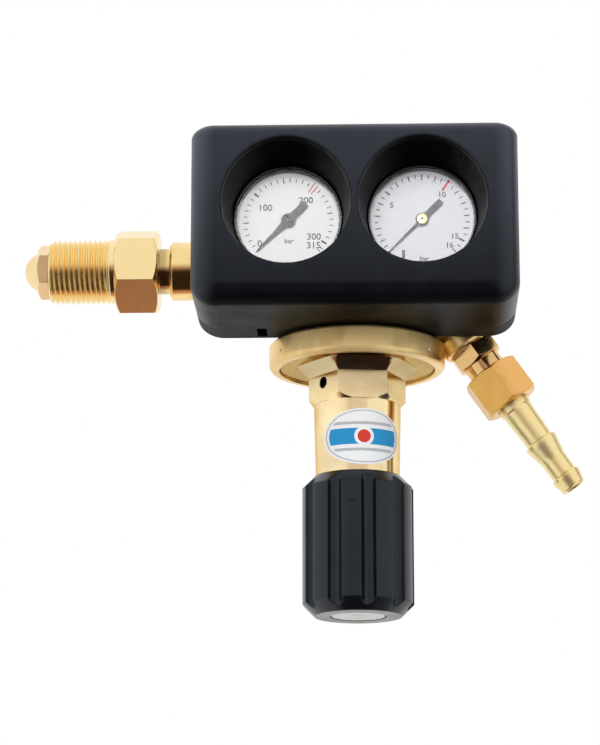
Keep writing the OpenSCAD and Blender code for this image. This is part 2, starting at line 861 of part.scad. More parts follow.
// Convex shell form between two depths, with rounded edges at the front or the back
module housing_form(inset, front, back, front_r, back_r) {
    hull() for (side = [-1, 1]) for (up = [0, 1]) {
        corner = up ? corner_top : corner_bottom;
        rx = corner[0] - inset;
        rz = max(corner[1] - inset, 1);
        x = side * (housing_w / 2 - inset - rx);
        z = up ? housing_top - inset - rz : housing_bottom + inset + rz;
        if (front_r > 0) translate([x, -front + front_r, z]) corner_ball(rx, front_r, rz);
        if (front_r == 0) translate([x, -front + 0.5, z]) corner_disc(rx, rz);
        if (back_r > 0) translate([x, -back - back_r, z]) corner_ball(rx, back_r, rz);
        if (back_r == 0) translate([x, -back, z]) corner_disc(rx, rz);
    }
}

// Cut that forms a gauge well: window hole, cone and rounded lip
module well_cut() {
    ledge = gauge_front + face_gap;
    cone_start = ledge + 1.2;
    cone_end = housing_front - lip_r;
    steps = 8;
    rotate_extrude($fn = 160) polygon(concat(
        [[0, ledge - 1], [window_hole_r, ledge - 1], [window_hole_r, ledge + 0.6],
         [window_hole_r + 0.5, cone_start]],
        [for (i = [0:steps]) let (a = 180 - 90 * i / steps)
            [well_r + lip_r + lip_r * cos(a), cone_end + lip_r * sin(a)]],
        [[well_r + lip_r, housing_front + 1], [0, housing_front + 1]]
    ));
}

module well_wall() {
    ledge = gauge_front + face_gap;
    wall_end = housing_front - housing_wall + 0.5;
    rotate_extrude($fn = 120) polygon([
        [0, ledge - 4.5], [case_d / 2 + 2.2, ledge - 4.5], [case_d / 2 + 2.2, ledge + 3],
        [well_r + 1.9, wall_end], [0, wall_end]
    ]);
}

module each_post() {
    for (side = [-1, 1]) for (z = [post_low_z, post_top_z])
        translate([bonnet_x + side * post_x, 0, z]) rotate([90, 0, 0]) children();
}

module front_housing() {
    color([0.1, 0.1, 0.11]) difference() {
        union() {
            difference() {
                on_bonnet() housing_form(0, housing_front, housing_seam, edge_r, 0);
                on_bonnet() housing_form(housing_wall, housing_front - housing_wall,
                    housing_seam - 1, edge_r - housing_wall, 0);
            }
            for (side = [-1, 1]) on_gauge(side) well_wall();
            each_post() rod(post_r, housing_seam, housing_front - housing_wall);
        }
        for (side = [-1, 1]) on_gauge(side) {
            well_cut();
            rod(case_d / 2 + 0.2, gauge_front - 6, gauge_front + face_gap);
        }
        on_bonnet() body_opening();
        each_post() rod(1.25, housing_seam - 1, housing_back + screw_len + 6);
    }
}

// Room for the body's dome and barrel in the housing's underside and back
module body_opening() {
    gap = body_hole_gap;
    steps = 16;
    rotate_extrude() polygon(concat(
        [[0, barrel_top + gap], [barrel_d / 2 + gap, barrel_top + gap]],
        dome_curve(gap, steps),
        [[dome_r + gap, housing_bottom - 1], [0, housing_bottom - 1]]
    ));
}

module rear_cover() {
    notch_w = 3.4;
    color([0.14, 0.14, 0.15]) difference() {
        union() {
            difference() {
                on_bonnet() housing_form(0, housing_seam, housing_back, 0, back_edge_r);
                on_bonnet() housing_form(housing_wall, housing_seam + 1, cover_inner, 0,
                    max(back_edge_r - housing_wall, 0.5));
            }
            each_post() rod(post_r, housing_back + 1, housing_seam);
        }
        on_bonnet() body_opening();
        for (side = [-1, 1]) on_gauge(side) {
            rod(socket_collar_r + 0.3, housing_back - 1, cover_inner + 1);
            rod(socket_af / 2 / cos(30) + 0.8, cover_inner, cover_inner + 1);
        }
        each_post() {
            rod(screw_shank_r + 0.2, housing_back - 1, housing_seam + 1);
            rod(screw_head_r + 0.3, housing_back - 1, housing_back + 6);
        }
        // drain notch beside the ring
        on_bonnet() translate([-ring_d / 2 - notch_w, -housing_seam - 1, housing_bottom - 1])
            cube([notch_w, housing_seam - cover_inner + 0.5, housing_wall + 1.5]);
    }
}

module cover_screws() {
    head = housing_back + 6;
    color("dimgray") each_post() difference() {
        union() {
            rod(screw_head_r, head - 2.2, head);
            rod(1.2, head - eps, housing_back + screw_len);
        }
        rotate([0, 0, 45]) translate([-0.4, -1.9, head - 3]) cube([0.8, 3.8, 1.9]);
        rotate([0, 0, 45]) translate([-1.9, -0.4, head - 3]) cube([3.8, 0.8, 1.9]);
    }
}

// Gauges

module gauge_case(side) {
    r = case_d / 2;
    ledge = dial_front - dial_t;
    window_low = window_front - window_t;
    color("dimgray") on_gauge(side) rotate_extrude() polygon([
        [5.2, gauge_back], [r - 1.5, gauge_back], [r, gauge_back + 1.5], [r, gauge_front - 0.3],
        [r - 0.3, gauge_front], [r - 1.3, gauge_front], [r - 1.3, window_front],
        [r - case_wall, window_front], [r - case_wall, window_low],
        [r - case_wall - 0.3, window_low], [r - case_wall - 0.3, dial_front + 0.1],
        [r - case_wall, dial_front + 0.1], [r - case_wall, ledge],
        [r - case_wall - 1.2, ledge], [r - case_wall - 1.2, ledge - 1], [r - case_wall, ledge - 2],
        [r - case_wall, gauge_back + 2], [r - case_wall - 1, gauge_back + 1],
        [5.2, gauge_back + 1]
    ]);
}

module gauge_window(side) {
    low = window_front - window_t;
    color([0.9, 0.95, 1, 0.35]) on_gauge(side) rod(case_d / 2 - case_wall - fit_gap, low, window_front);
}

module gauge_dial(side) {
    color("white") on_gauge(side) tube(dial_r, 1.2, dial_front - dial_t, dial_front);
}

module gauge_socket(side) {
    color("goldenrod") on_gauge(side) difference() {
        union() {
            rod(socket_thread_d / 2, gauge_face - 8.5, gauge_face + seal_t + eps);
            rod(socket_collar_r, gauge_face + seal_t, cover_inner + eps);
            turned_hexagon(socket_af, cover_inner, gauge_back, true, false);
            rod(5.1, gauge_back - eps, gauge_back + 1.2);
            rod(6.5, gauge_back + 1, gauge_back + 3);
            translate([-4, -tube_r - 2, gauge_back + 3 - eps])
                cube([8, tube_r + 6, movement_back - gauge_back - 3]);
        }
        rod(gas_hole_r, gauge_face - 10, gauge_back + 6);
    }
}

module gauge_seal(side) {
    color("peru") on_gauge(side)
        tube(socket_collar_r, socket_thread_d / 2 + fit_gap, gauge_face, gauge_face + seal_t);
}

// Flat-sided tube bent to a C, soldered into the socket's block at one end
module bourdon_tube(side) {
    low = gauge_back + 5;
    color("peru") on_gauge(side) union() {
        rotate([0, 0, -73]) rotate_extrude(angle = 250) translate([tube_r, low]) {
            translate([-0.8, 0.8]) square([1.6, 3.4]);
            translate([0, 0.8]) circle(r = 0.8, $fn = 24);
            translate([0, 4.2]) circle(r = 0.8, $fn = 24);
        }
        rotate([0, 0, -73 + 250]) translate([tube_r - 1.2, -0.2, low]) cube([2.4, 2.4, 5]);
    }
}

module movement_outline() {
    translate([-4.5, -gear_distance - 2.5]) square([9, gear_distance + 7]);
}

// Two plates on pillars, which carry the pinion arbor and the sector's shaft
module gauge_movement(side) {
    color("goldenrod") on_gauge(side) difference() {
        union() {
            translate([0, 0, movement_back]) linear_extrude(plate_sheet) movement_outline();
            translate([0, 0, movement_front - plate_sheet]) linear_extrude(plate_sheet)
                movement_outline();
            for (x = [-1, 1]) translate([x * 3.6, 3.6, 0]) rod(0.8, movement_back, movement_front);
        }
        rod(arbor_r + run_gap, movement_back - 1, movement_front + 1);
        translate([0, -gear_distance, 0])
            rod(arbor_r + run_gap, movement_back - 1, movement_front + 1);
    }
}

// Toothed sector on its own shaft, with a tooth on the line of centres at rest and a balance weight
module gauge_sector(side) {
    spare_teeth = 2;
    first = -ceil(sector_swing * sector_teeth / 360) - spare_teeth;
    tooth_angle = 360 / sector_teeth;
    middle = 90 + tooth_angle * (first + spare_teeth) / 2;
    window_half = tooth_angle * (spare_teeth - first) / 2 - 8;
    color("goldenrod") on_gauge(side) translate([0, -gear_distance, 0]) union() {
        difference() {
            translate([0, 0, sector_front - sector_t]) linear_extrude(sector_t)
                rotate([0, 0, 90]) polygon(concat([[0, 0]], gear_points(sector_teeth, first,
                    spare_teeth, 0.7 * gear_module, 1.15 * gear_module, 0.4)));
            translate([0, 0, sector_front - sector_t - 1]) linear_extrude(sector_t + 2)
                rotate([0, 0, middle]) polygon(concat(
                    [for (i = [0:8]) let (a = window_half * (i / 4 - 1))
                        [window_low_r * cos(a), window_low_r * sin(a)]],
                    [for (i = [8:-1:0]) let (a = window_half * (i / 4 - 1))
                        [window_high_r * cos(a), window_high_r * sin(a)]]));
        }
        rod(2.2, sector_front - sector_t, sector_front);
        intersection() {
            rod(balance_r, balance_front - balance_t, balance_front);
            rotate([0, 0, middle]) translate([-2 * balance_r, -balance_r, balance_front - balance_t - 1])
                cube([2 * balance_r, 2 * balance_r, balance_t + 2]);
        }
        rod(arbor_r, movement_back + 0.1, movement_front - 0.05);
    }
}

// Shaft and pinion of a pointer, with a gap between teeth on the line of centres at rest
module pointer_arbor() {
    rod(arbor_r, movement_back + 0.1, pointer_z + pointer_t);
    translate([0, 0, pinion_front - pinion_t]) linear_extrude(pinion_t)
        rotate([0, 0, -90 + 180 / pinion_teeth]) polygon(gear_points(pinion_teeth, 0,
            pinion_teeth - 1, 0.8 * gear_module, gear_module, 1.6));
}

// Pointer of the inlet gauge: tapered tip and a broad tail
module high_pointer() {
    color([0.2, 0.2, 0.22]) on_gauge(-1) union() {
        rotate([0, 0, zero_angle]) translate([0, 0, pointer_z]) linear_extrude(pointer_t) union() {
            polygon([[0, 1.5], [6, 0.75], [pointer_len, 0.2], [pointer_len, -0.2],
                [6, -0.75], [0, -1.5]]);
            translate([-8.5, -1.3]) square([8.5, 2.6]);
            circle(r = 2.5);
        }
        rod(0.6, pointer_z + pointer_t - eps, pointer_z + pointer_t + 0.3);
        pointer_arbor();
    }
}

// Pointer of the outlet gauge: thin needle, narrow tail and a round hub
module low_pointer() {
    color([0.2, 0.2, 0.22]) on_gauge(1) union() {
        rotate([0, 0, zero_angle]) translate([0, 0, pointer_z]) linear_extrude(pointer_t) union() {
            polygon([[0, 0.5], [pointer_len, 0.15], [pointer_len, -0.15], [0, -0.5]]);
            translate([-9.3, -1.05]) square([9.3, 2.1]);
            circle(r = 2.25);
        }
        rod(1.6, pointer_z + pointer_t - eps, pointer_z + pointer_t + 0.4);
        pointer_arbor();
    }
}

// Outlet

module outlet_adapter() {
    color("goldenrod") on_outlet() difference() {
        union() {
            rod(adapter_thread_r, boss_end - 9, -adapter_hex_len / 2 + eps);
            rotate([0, 0, adapter_turn])
                turned_hexagon(adapter_af, -adapter_hex_len / 2, adapter_hex_end, false, true);
            rod(adapter_neck_r, adapter_hex_end - eps, union_start + 1.5);
            rod(union_bore_r - fit_gap, union_start + 1.5 - eps, adapter_end);
        }
        rod(adapter_bore_r, boss_end - 10, adapter_end - 4);
        translate([0, 0, adapter_end - 4 - eps])
            cylinder(r1 = adapter_bore_r, r2 = 6, h = 4 + 2 * eps);
    }
}

module outlet_seal() {
    color("peru") on_outlet()
        tube(outlet_seal_r, adapter_thread_r + fit_gap, boss_end, -adapter_hex_len / 2);
}

module outlet_nut() {
    color("gold") on_outlet() rotate([0, 0, union_turn]) difference() {
        turned_hexagon(union_af, union_start, union_end, true, true);
        rod(union_bore_r, union_start - 1, union_end - union_wall);
        rod(6.1, union_end - union_wall - 1, union_end + 1);
    }
}

module hose_tail() {
    head = union_end - union_wall - 1.4;
    r = tail_d / 2;
    barb = barb_d / 2;
    color("gold") on_outlet() rotate_extrude() polygon([
        [tail_bore_d / 2, adapter_end - 2.2],
        [3.7, adapter_end - 2.2],
        [5.7, adapter_end + 0.1],
        [union_bore_r - 0.3, adapter_end + 0.1],
        [union_bore_r - 0.3, union_end - union_wall],
        [barb, union_end - union_wall],
        [barb, union_end + 2.2],
        [r, union_end + 2.8],
        [r - 0.5, barb_1],
        [barb, barb_1 + 0.7],
        [barb, barb_1 + 1.8],
        [r - 0.85, barb_1 + 8],
        [r - 0.95, barb_2],
        [r - 0.2, barb_2 + 0.6],
        [r - 0.2, barb_2 + 1.4],
        [tip_d / 2 + 0.3, tail_end - 0.4],
        [tip_d / 2, tail_end],
        [tail_bore_d / 2, tail_end]
    ]);
}

// Relief valve

module relief_body() {
    color("goldenrod") on_relief() difference() {
        union() {
            rod(relief_stem_r, relief_face - 6.5, relief_face + eps);
            turned_hexagon(relief_af, relief_face, relief_end, false, true);
        }
        rod(relief_bore_r, relief_seat, relief_end + 1);
        rod(relief_hole_r, relief_face - 8, relief_face);
    }
}

// Disc with a stem that meets the cap at full lift
module relief_poppet() {
    color("silver") on_relief() union() {
        rod(relief_bore_r - run_gap, relief_seat + 0.1, relief_disc_top);
        rod(1.9, relief_disc_top - eps, relief_cap_low - relief_lift - face_gap);
    }
}

module relief_spring() {
    color("dimgray") on_relief()
        coil(2.6, 0.35, 6, relief_disc_top + 0.1, relief_cap_low - 0.1, 16, 6);
}

module relief_cap() {
    head = 2.4;
    slot_w = 1;
    color("goldenrod") on_relief() difference() {
        union() {
            rod(relief_bore_r - fit_gap, relief_cap_low, relief_end);
            rod(5.4, relief_end, relief_end + head);
        }
        rod(relief_hole_r, relief_cap_low - 1, relief_end + head + 1);
        translate([-6, -slot_w / 2, relief_end + head - 1]) cube([12, slot_w, 2]);
    }
}

body();
bonnet();
inlet_nipple();
nipple_seal();
inlet_filter();
inlet_nut();
valve_nozzle();
nozzle_seal();
valve_poppet();
poppet_seat();
valve_spring();
diaphragm();
slip_ring();
diaphragm_plate();
push_pin();
adjusting_spring();
spring_button();
adjusting_screw();
screw_retainer();
knob();
knob_nut();
knob_cap();
front_housing();
rear_cover();
cover_screws();
gauge_case(-1);  // high_case
gauge_socket(-1);  // high_socket
gauge_seal(-1);  // high_seal
bourdon_tube(-1);  // high_tube
gauge_movement(-1);  // high_movement
gauge_sector(-1);  // high_sector
gauge_dial(-1);  // high_dial
high_pointer();
gauge_window(-1);  // high_window
gauge_case(1);  // low_case
gauge_socket(1);  // low_socket
gauge_seal(1);  // low_seal
bourdon_tube(1);  // low_tube
gauge_movement(1);  // low_movement
gauge_sector(1);  // low_sector
gauge_dial(1);  // low_dial
low_pointer();
gauge_window(1);  // low_window
outlet_adapter();
outlet_seal();
outlet_nut();
hose_tail();
relief_body();
relief_poppet();
relief_spring();
relief_cap();
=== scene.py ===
"""Looks of a gas cylinder pressure regulator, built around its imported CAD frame.

Metres throughout. +Z points up along the bonnet's axis, the front faces -Y, the inlet points to -X.
"""

import json
import math

import bmesh
import bpy
from mathutils import Matrix, Vector
from mathutils.bvhtree import BVHTree


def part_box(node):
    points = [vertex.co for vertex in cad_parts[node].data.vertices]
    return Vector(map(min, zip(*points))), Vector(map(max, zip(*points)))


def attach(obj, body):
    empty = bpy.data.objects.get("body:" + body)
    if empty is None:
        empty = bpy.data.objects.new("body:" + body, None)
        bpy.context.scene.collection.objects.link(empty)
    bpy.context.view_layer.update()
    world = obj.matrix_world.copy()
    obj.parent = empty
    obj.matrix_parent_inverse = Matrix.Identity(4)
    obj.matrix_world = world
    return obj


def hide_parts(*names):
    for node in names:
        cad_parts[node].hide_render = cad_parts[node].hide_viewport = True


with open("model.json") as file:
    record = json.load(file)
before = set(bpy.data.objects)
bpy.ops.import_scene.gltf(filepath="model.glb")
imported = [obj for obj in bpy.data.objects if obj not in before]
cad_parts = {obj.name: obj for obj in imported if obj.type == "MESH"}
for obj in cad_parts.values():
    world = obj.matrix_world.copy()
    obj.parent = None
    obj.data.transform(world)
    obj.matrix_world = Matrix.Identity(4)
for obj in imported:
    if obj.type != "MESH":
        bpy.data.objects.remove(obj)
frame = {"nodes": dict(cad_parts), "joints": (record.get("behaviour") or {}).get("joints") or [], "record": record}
nodes = frame["nodes"]
joints = {j["name"]: j for j in frame["joints"]}
mounts = {m["name"]: m for m in frame["record"]["mounts"]}
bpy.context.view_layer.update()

MM = 0.001
SIDES = ("high", "low")
FRONT = Vector((0, -1, 0))
UP = Vector((0, 0, 1))
WIRE_POINTS = 8
LETTER_WEIGHT = 0.018

# Places taken from the frame
AXIS_X = joints["knob_turn"]["pos_m"][0]
GAUGES = {side: Vector(joints[f"{side}_pointer_turn"]["pos_m"]) for side in SIDES}
DIAL_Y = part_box("high_dial")[0].y
NUT_LOW, NUT_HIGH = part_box("inlet_nut")
THREAD_R = mounts["inlet_thread"]["dims"]["r_mm"] * MM
THREAD_END = mounts["inlet_thread"]["dims"]["length_mm"] * MM
OUTLET_DIR = Vector(mounts["hose_tail"]["axis"])
OUTLET_TIP = Vector(mounts["hose_tail"]["pos_m"])
KNOB_LOW, KNOB_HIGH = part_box("knob")


# Meshes


def new_object(name, mesh, body, material):
    """Puts a finished mesh on a CAD body and its material."""
    obj = bpy.data.objects.new(name, mesh)
    bpy.context.scene.collection.objects.link(obj)
    mesh.materials.clear()
    mesh.materials.append(material)
    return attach(obj, body)


def finish_mesh(bm, name):
    """Turns a finished bmesh into a mesh."""
    mesh = bpy.data.meshes.new(name)
    bm.to_mesh(mesh)
    bm.free()
    return mesh


def mesh_from_rows(rows):
    """Closed mesh from rings of equally many points, each joined to the next and the last to the first."""
    bm = bmesh.new()
    rings = [[bm.verts.new(p) for p in row] for row in rows]
    count = len(rings[0])
    for a, b in zip(rings, rings[1:] + rings[:1]):
        for i in range(count):
            j = (i + 1) % count
            bm.faces.new((a[i], a[j], b[j], b[i]))
    bmesh.ops.remove_doubles(bm, verts=bm.verts, dist=1e-7)
    bmesh.ops.recalc_face_normals(bm, faces=bm.faces)
    return finish_mesh(bm, "rows")


def circle(radius, count):
    """Points round a flat circle."""
    turns = (2 * math.pi * k / count for k in range(count))
    return [(radius * math.cos(a), radius * math.sin(a)) for a in turns]


def lathe(profile, centre, axis, segments=96):
    """Closed ring of revolution from (radius, distance along the axis) points."""
    turn = axis.to_track_quat("Z", "Y").to_matrix()
    rows = [[centre + turn @ Vector((x, y, along)) for x, y in circle(r, segments)] for r, along in profile]
    return mesh_from_rows(rows)


def wire_section(r, along, wire_r, flat=1.0):
    """Section of a wire bent to a ring, for the lathe. flat is its height as a share of its width."""
    return [(r + x, along + flat * y) for x, y in circle(wire_r, WIRE_POINTS)]


def add_prism(bm, outline, low, high, place):
    """Adds a closed prism over a flat outline. place turns (x, y, out) into a frame point."""
    base = [bm.verts.new(place(x, y, low)) for x, y in outline]
    top = [bm.verts.new(place(x, y, high)) for x, y in outline]
    bm.faces.new(base[::-1])
    bm.faces.new(top)
    count = len(base)
    for i in range(count):
        j = (i + 1) % count
        bm.faces.new((base[i], base[j], top[j], top[i]))


def bar_outline(start, end, width):
    """Corners of a straight bar between two flat points."""
    (x0, y0), (x1, y1) = start, end
    length = math.hypot(x1 - x0, y1 - y0)
    nx, ny = -(y1 - y0) / length * width / 2, (x1 - x0) / length * width / 2
    return [(x0 - nx, y0 - ny), (x1 - nx, y1 - ny), (x1 + nx, y1 + ny), (x0 + nx, y0 + ny)]


def words_mesh(words, size, depth):
    """Flat closed letters, centred on the origin in the XY plane."""
    curve = bpy.data.curves.new("words", "FONT")
    curve.body = words
    curve.size = size
    curve.align_x = "CENTER"
    curve.align_y = "CENTER"
    curve.extrude = depth / 2
    curve.offset = LETTER_WEIGHT * size
    curve.resolution_u = 3
    holder = bpy.data.objects.new("words", curve)
    bpy.context.scene.collection.objects.link(holder)
    bpy.context.view_layer.update()
    mesh = bpy.data.meshes.new_from_object(holder)
    bpy.data.objects.remove(holder)
    return mesh


# Materials


def add_node(tree, kind, inputs=None, **settings):
    """Adds a node with its settings. Each input gets a plain value or is joined to a socket."""
    made = tree.nodes.new(kind)
    for key, value in settings.items():
        setattr(made, key, value)
    for key, value in (inputs or {}).items():
        if isinstance(value, bpy.types.NodeSocket):
            tree.links.new(value, made.inputs[key])
        else:
            made.inputs[key].default_value = value
    return made


class Shader:
    """One procedural material around a Principled node, with short names for its usual nodes."""

    def __init__(self, name, color, roughness, metallic=0.0, specular=0.5):
        self.material = bpy.data.materials.new(name)
        self.material.use_nodes = True
        self.tree = self.material.node_tree
        self.bsdf = self.tree.nodes["Principled BSDF"]
        self.set("Base Color", (*color, 1))
        self.set("Roughness", roughness)
        self.set("Metallic", metallic)
        self.set("Specular IOR Level", specular)
        self.roughness = roughness
        self.height = None

    def set(self, socket, value):
        self.bsdf.inputs[socket].default_value = value

    def drive(self, socket, output):
        """Joins a node's output to a socket of the Principled node."""
        self.tree.links.new(output, self.bsdf.inputs[socket])

    def node(self, kind, inputs=None, **settings):
        return add_node(self.tree, kind, inputs, **settings)

    def math(self, operation, a, b=0.0):
        return self.node("ShaderNodeMath", {0: a, 1: b}, operation=operation).outputs[0]

    def ramp(self, value, start, end, low, high):
        """Goes from low to high while a value goes from start to end."""
        inputs = {"Value": value, "From Min": start, "From Max": end, "To Min": low, "To Max": high}
        return self.node("ShaderNodeMapRange", inputs).outputs[0]

    def place(self, anchor=None):
        """Object coordinates, of the piece itself or of an empty on some axis."""
        return self.node("ShaderNodeTexCoord", object=anchor).outputs["Object"]

    def split(self, where):
        """The x, y and z of a vector."""
        return self.node("ShaderNodeSeparateXYZ", {0: where}).outputs

    def off_axis(self, parts):
        """Distance from the Z axis, from the x, y and z of a place."""
        x, y = parts[0], parts[1]
        return self.math("SQRT", self.math("ADD", self.math("MULTIPLY", x, x), self.math("MULTIPLY", y, y)))

    def noise(self, scale, detail=3.0, where=None, stretch=None):
        where = where or self.place()
        if stretch:
            where = self.node("ShaderNodeVectorMath", {0: where, 1: stretch}, operation="MULTIPLY").outputs[0]
        made = self.node("ShaderNodeTexNoise", {"Vector": where, "Scale": scale, "Detail": detail})
        return made.outputs["Fac"]

    def rings(self, anchor, scale, detail=2.0):
        """Noise that is the same all round an axis, as a lathe tool leaves it."""
        parts = self.split(self.place(anchor))
        where = self.node("ShaderNodeCombineXYZ", {0: self.off_axis(parts), 2: parts[2]}).outputs[0]
        return self.noise(scale, detail, where)

    def vary_color(self, fac, low, high, start=0.35, end=0.65):
        """Colour between two tones by a noise value."""
        tones = self.node("ShaderNodeValToRGB", {0: fac})
        for element, place, tone in zip(tones.color_ramp.elements, (start, end), (low, high)):
            element.position = place
            element.color = (*tone, 1)
        self.drive("Base Color", tones.outputs[0])

    def vary_roughness(self, fac, spread):
        """Roughness that changes with a noise value by as much as the spread to each side."""
        self.drive("Roughness", self.ramp(fac, 0.3, 0.7, self.roughness - spread, self.roughness + spread))

    def dim(self, socket, fac):
        """Multiplies what a colour socket shows by a value."""
        source = self.bsdf.inputs[socket].links[0].from_socket
        scaled = self.node("ShaderNodeVectorMath", {0: source, "Scale": fac}, operation="SCALE")
        self.drive(socket, scaled.outputs[0])

    def bump(self, fac, depth):
        """Adds one relief of the given depth in metres over those before it."""
        made = self.node("ShaderNodeBump", {"Height": fac, "Distance": depth, "Strength": 1.0})
        if self.height:
            self.tree.links.new(self.height, made.inputs["Normal"])
        self.height = made.outputs[0]
        self.drive("Normal", self.height)

    def clear_where(self, fac):
        """Lets light straight through where a value is 1."""
        clear = self.node("ShaderNodeBsdfTransparent")
        mix = self.node("ShaderNodeMixShader", {0: fac, 1: self.bsdf.outputs[0], 2: clear.outputs[0]})
        self.tree.links.new(mix.outputs[0], self.tree.nodes["Material Output"].inputs["Surface"])

    def round_edges(self, radius):
        """Soft edges. It comes before the reliefs."""
        self.height = self.node("ShaderNodeBevel", {"Radius": radius}, samples=4).outputs[0]
        self.drive("Normal", self.height)


def axis_anchor(name, point, direction, body):
    """Empty whose local Z lies on an axis, for lathe marks that turn with their piece."""
    empty = bpy.data.objects.new(name, None)
    bpy.context.scene.collection.objects.link(empty)
    empty.rotation_mode = "QUATERNION"
    empty.rotation_quaternion = Vector(direction).to_track_quat("Z", "Y")
    empty.location = point
    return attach(empty, body)


BRASS = (0.84, 0.60, 0.27)
BRASS_PALE = (0.88, 0.68, 0.38)
BRASS_DEEP = (0.74, 0.49, 0.20)


def brass(name, anchor, pale, deep, roughness, ring_depth, edge=0.25 * MM, metallic=1.0, painted_shade_above=None):
    """Brass with lathe rings round an axis, uneven tone and softened edges, and painted shade that darkens its
    colour above some height.
    """
    s = Shader(name, pale, roughness, metallic=metallic)
    if edge:
        s.round_edges(edge)
    cloud = s.noise(70, 4)
    s.vary_color(cloud, deep, pale, 0.3, 0.62)
    if painted_shade_above:
        painted_shade_level = 0.60
        warm_sheen = (0.78, 0.62, 0.40, 1)
        # Painted shade: the colour darkens from the lower height to the upper one, with an uneven noise over it.
        height = s.split(s.place(anchor))[2]
        painted_shade = s.ramp(height, *painted_shade_above, 1.0, painted_shade_level)
        smear = s.math("ADD", s.math("MULTIPLY", s.noise(120, 4, stretch=(1, 0.4, 1)), 0.5), 0.72)
        s.dim("Base Color", s.math("MULTIPLY", painted_shade, smear))
        s.set("Specular Tint", warm_sheen)
    fine = s.rings(anchor, 2600, 2)
    broad = s.rings(anchor, 500, 3)
    s.vary_roughness(s.math("ADD", s.math("MULTIPLY", cloud, 0.5), s.math("MULTIPLY", broad, 0.5)), 0.07)
    s.bump(broad, ring_depth)
    s.bump(fine, ring_depth * 0.35)
    return s.material


def flat_shaded_brass(name, anchor, roughness):
    """Brass of the union nut, with painted shade: its tone goes from brown on the flats to one side to orange on
    those to the other.
    """
    brown, orange = (0.73, 0.42, 0.11), (0.90, 0.50, 0.17)
    shade_per_metre = 90.0
    s = Shader(name, orange, roughness, metallic=1.0)
    s.round_edges(0.3 * MM)
    # Painted shade: the colour changes with the place across the nut, so each flat gets its own tone.
    side = s.split(s.place(anchor))[1]
    cloud = s.noise(160, 4)
    s.vary_color(s.math("ADD", s.math("MULTIPLY", side, shade_per_metre), cloud), brown, orange, 0.5, 0.9)
    s.vary_roughness(cloud, 0.05)
    s.bump(s.noise(900, 3), 0.003 * MM)
    return s.material


def milled_brass(name, stretch, pale, deep, roughness):
    """Brass flats with straight cutter marks."""
    s = Shader(name, pale, roughness, metallic=1.0)
    s.round_edges(0.3 * MM)
    marks = s.noise(900, 3, stretch=stretch)
    s.vary_color(s.noise(90, 3), deep, pale, 0.3, 0.65)
    s.vary_roughness(marks, 0.08)
    s.bump(marks, 0.012 * MM)
    return s.material


def forged_brass():
    """Forged and brushed brass of the body with darker stains.

    Its inlet end is turned smooth, its neck towards the inlet is darkened as painted shade, and the front of the
    clamping ring is matt.
    """
    stained, clean = (0.74, 0.47, 0.16), (0.98, 0.73, 0.33)
    neck_shade_x = (40 * MM, 42 * MM)
    turned_x = (56 * MM, 66 * MM)
    ring_front_y = (-28 * MM, -10 * MM)
    s = Shader("brass_forged", BRASS, 0.38, metallic=1.0)
    s.round_edges(0.5 * MM)
    stains = s.noise(140, 4, stretch=(1, 1, 0.5))
    both = s.math("ADD", s.math("MULTIPLY", s.noise(60, 5), 0.6), s.math("MULTIPLY", stains, 0.4))
    s.vary_color(both, stained, clean, 0.34, 0.54)
    s.vary_roughness(stains, 0.08)
    along, back, _ = s.split(s.place())
    # Painted shade: the colour darkens to 0.6 on the neck towards the inlet.
    s.dim("Base Color", s.ramp(along, *neck_shade_x, 0.6, 1.0))
    s.drive("Metallic", s.ramp(back, *ring_front_y, 0.45, 1.0))
    rough = s.bsdf.inputs["Roughness"].links[0].from_socket
    s.drive("Roughness", s.math("MULTIPLY", rough, s.ramp(along, *turned_x, 0.37, 1.0)))
    s.bump(s.noise(300, 3), 0.012 * MM)
    s.bump(s.noise(2400, 2), 0.004 * MM)
    return s.material


def moulded_plastic(name, color, roughness, grain, edge, specular):
    """Shader of a black moulding with a fine spark-eroded grain and slightly uneven gloss."""
    cool_sheen = (0.80, 0.88, 1.0, 1)
    s = Shader(name, color, roughness, specular=specular)
    s.set("Specular Tint", cool_sheen)
    s.round_edges(edge)
    s.vary_roughness(s.noise(90, 4), 0.04)
    s.vary_color(s.noise(140, 4), [c * 0.8 for c in color], [c * 1.25 for c in color])
    s.bump(s.noise(2200, 2), grain)
    s.bump(s.noise(160, 3), grain * 1.5)
    return s


def housing_plastic():
    """Plastic of the front housing, with painted shade in its wells and underneath and painted light at its top
    and at its left and right ends, in both its colour and its gloss.
    """
    gloss = 0.48
    s = moulded_plastic("housing_black", (0.0045, 0.006, 0.0095), 0.4, 0.015 * MM, 0.6 * MM, gloss)
    # Painted shade and light: colour and gloss are scaled down on faces that look down, and up towards the top and
    # the ends.
    facing = s.split(s.node("ShaderNodeNewGeometry").outputs["Normal"])[2]
    underside = s.ramp(facing, -0.95, -0.55, 0.12, 1.0)
    along, _, up = s.split(s.place())
    top = s.ramp(up, -20 * MM, 34 * MM, 0.6, 1.35)
    from_middle = s.math("ABSOLUTE", s.math("SUBTRACT", along, AXIS_X))
    ends = s.ramp(from_middle, 47 * MM, 57 * MM, 1.0, 2.2)
    level = s.math("MULTIPLY", underside, s.math("MULTIPLY", top, ends))
    # Painted shade in each well, darkest inside it.
    for side in SIDES:
        radius = s.off_axis(s.split(s.place(anchors[side])))
        well = s.ramp(radius, 21.6 * MM, 22.6 * MM, 0.05, 1.0)
        level = s.math("MULTIPLY", well, level)
    s.drive("Specular IOR Level", s.math("MULTIPLY", level, gloss))
    s.dim("Base Color", level)
    return s.material


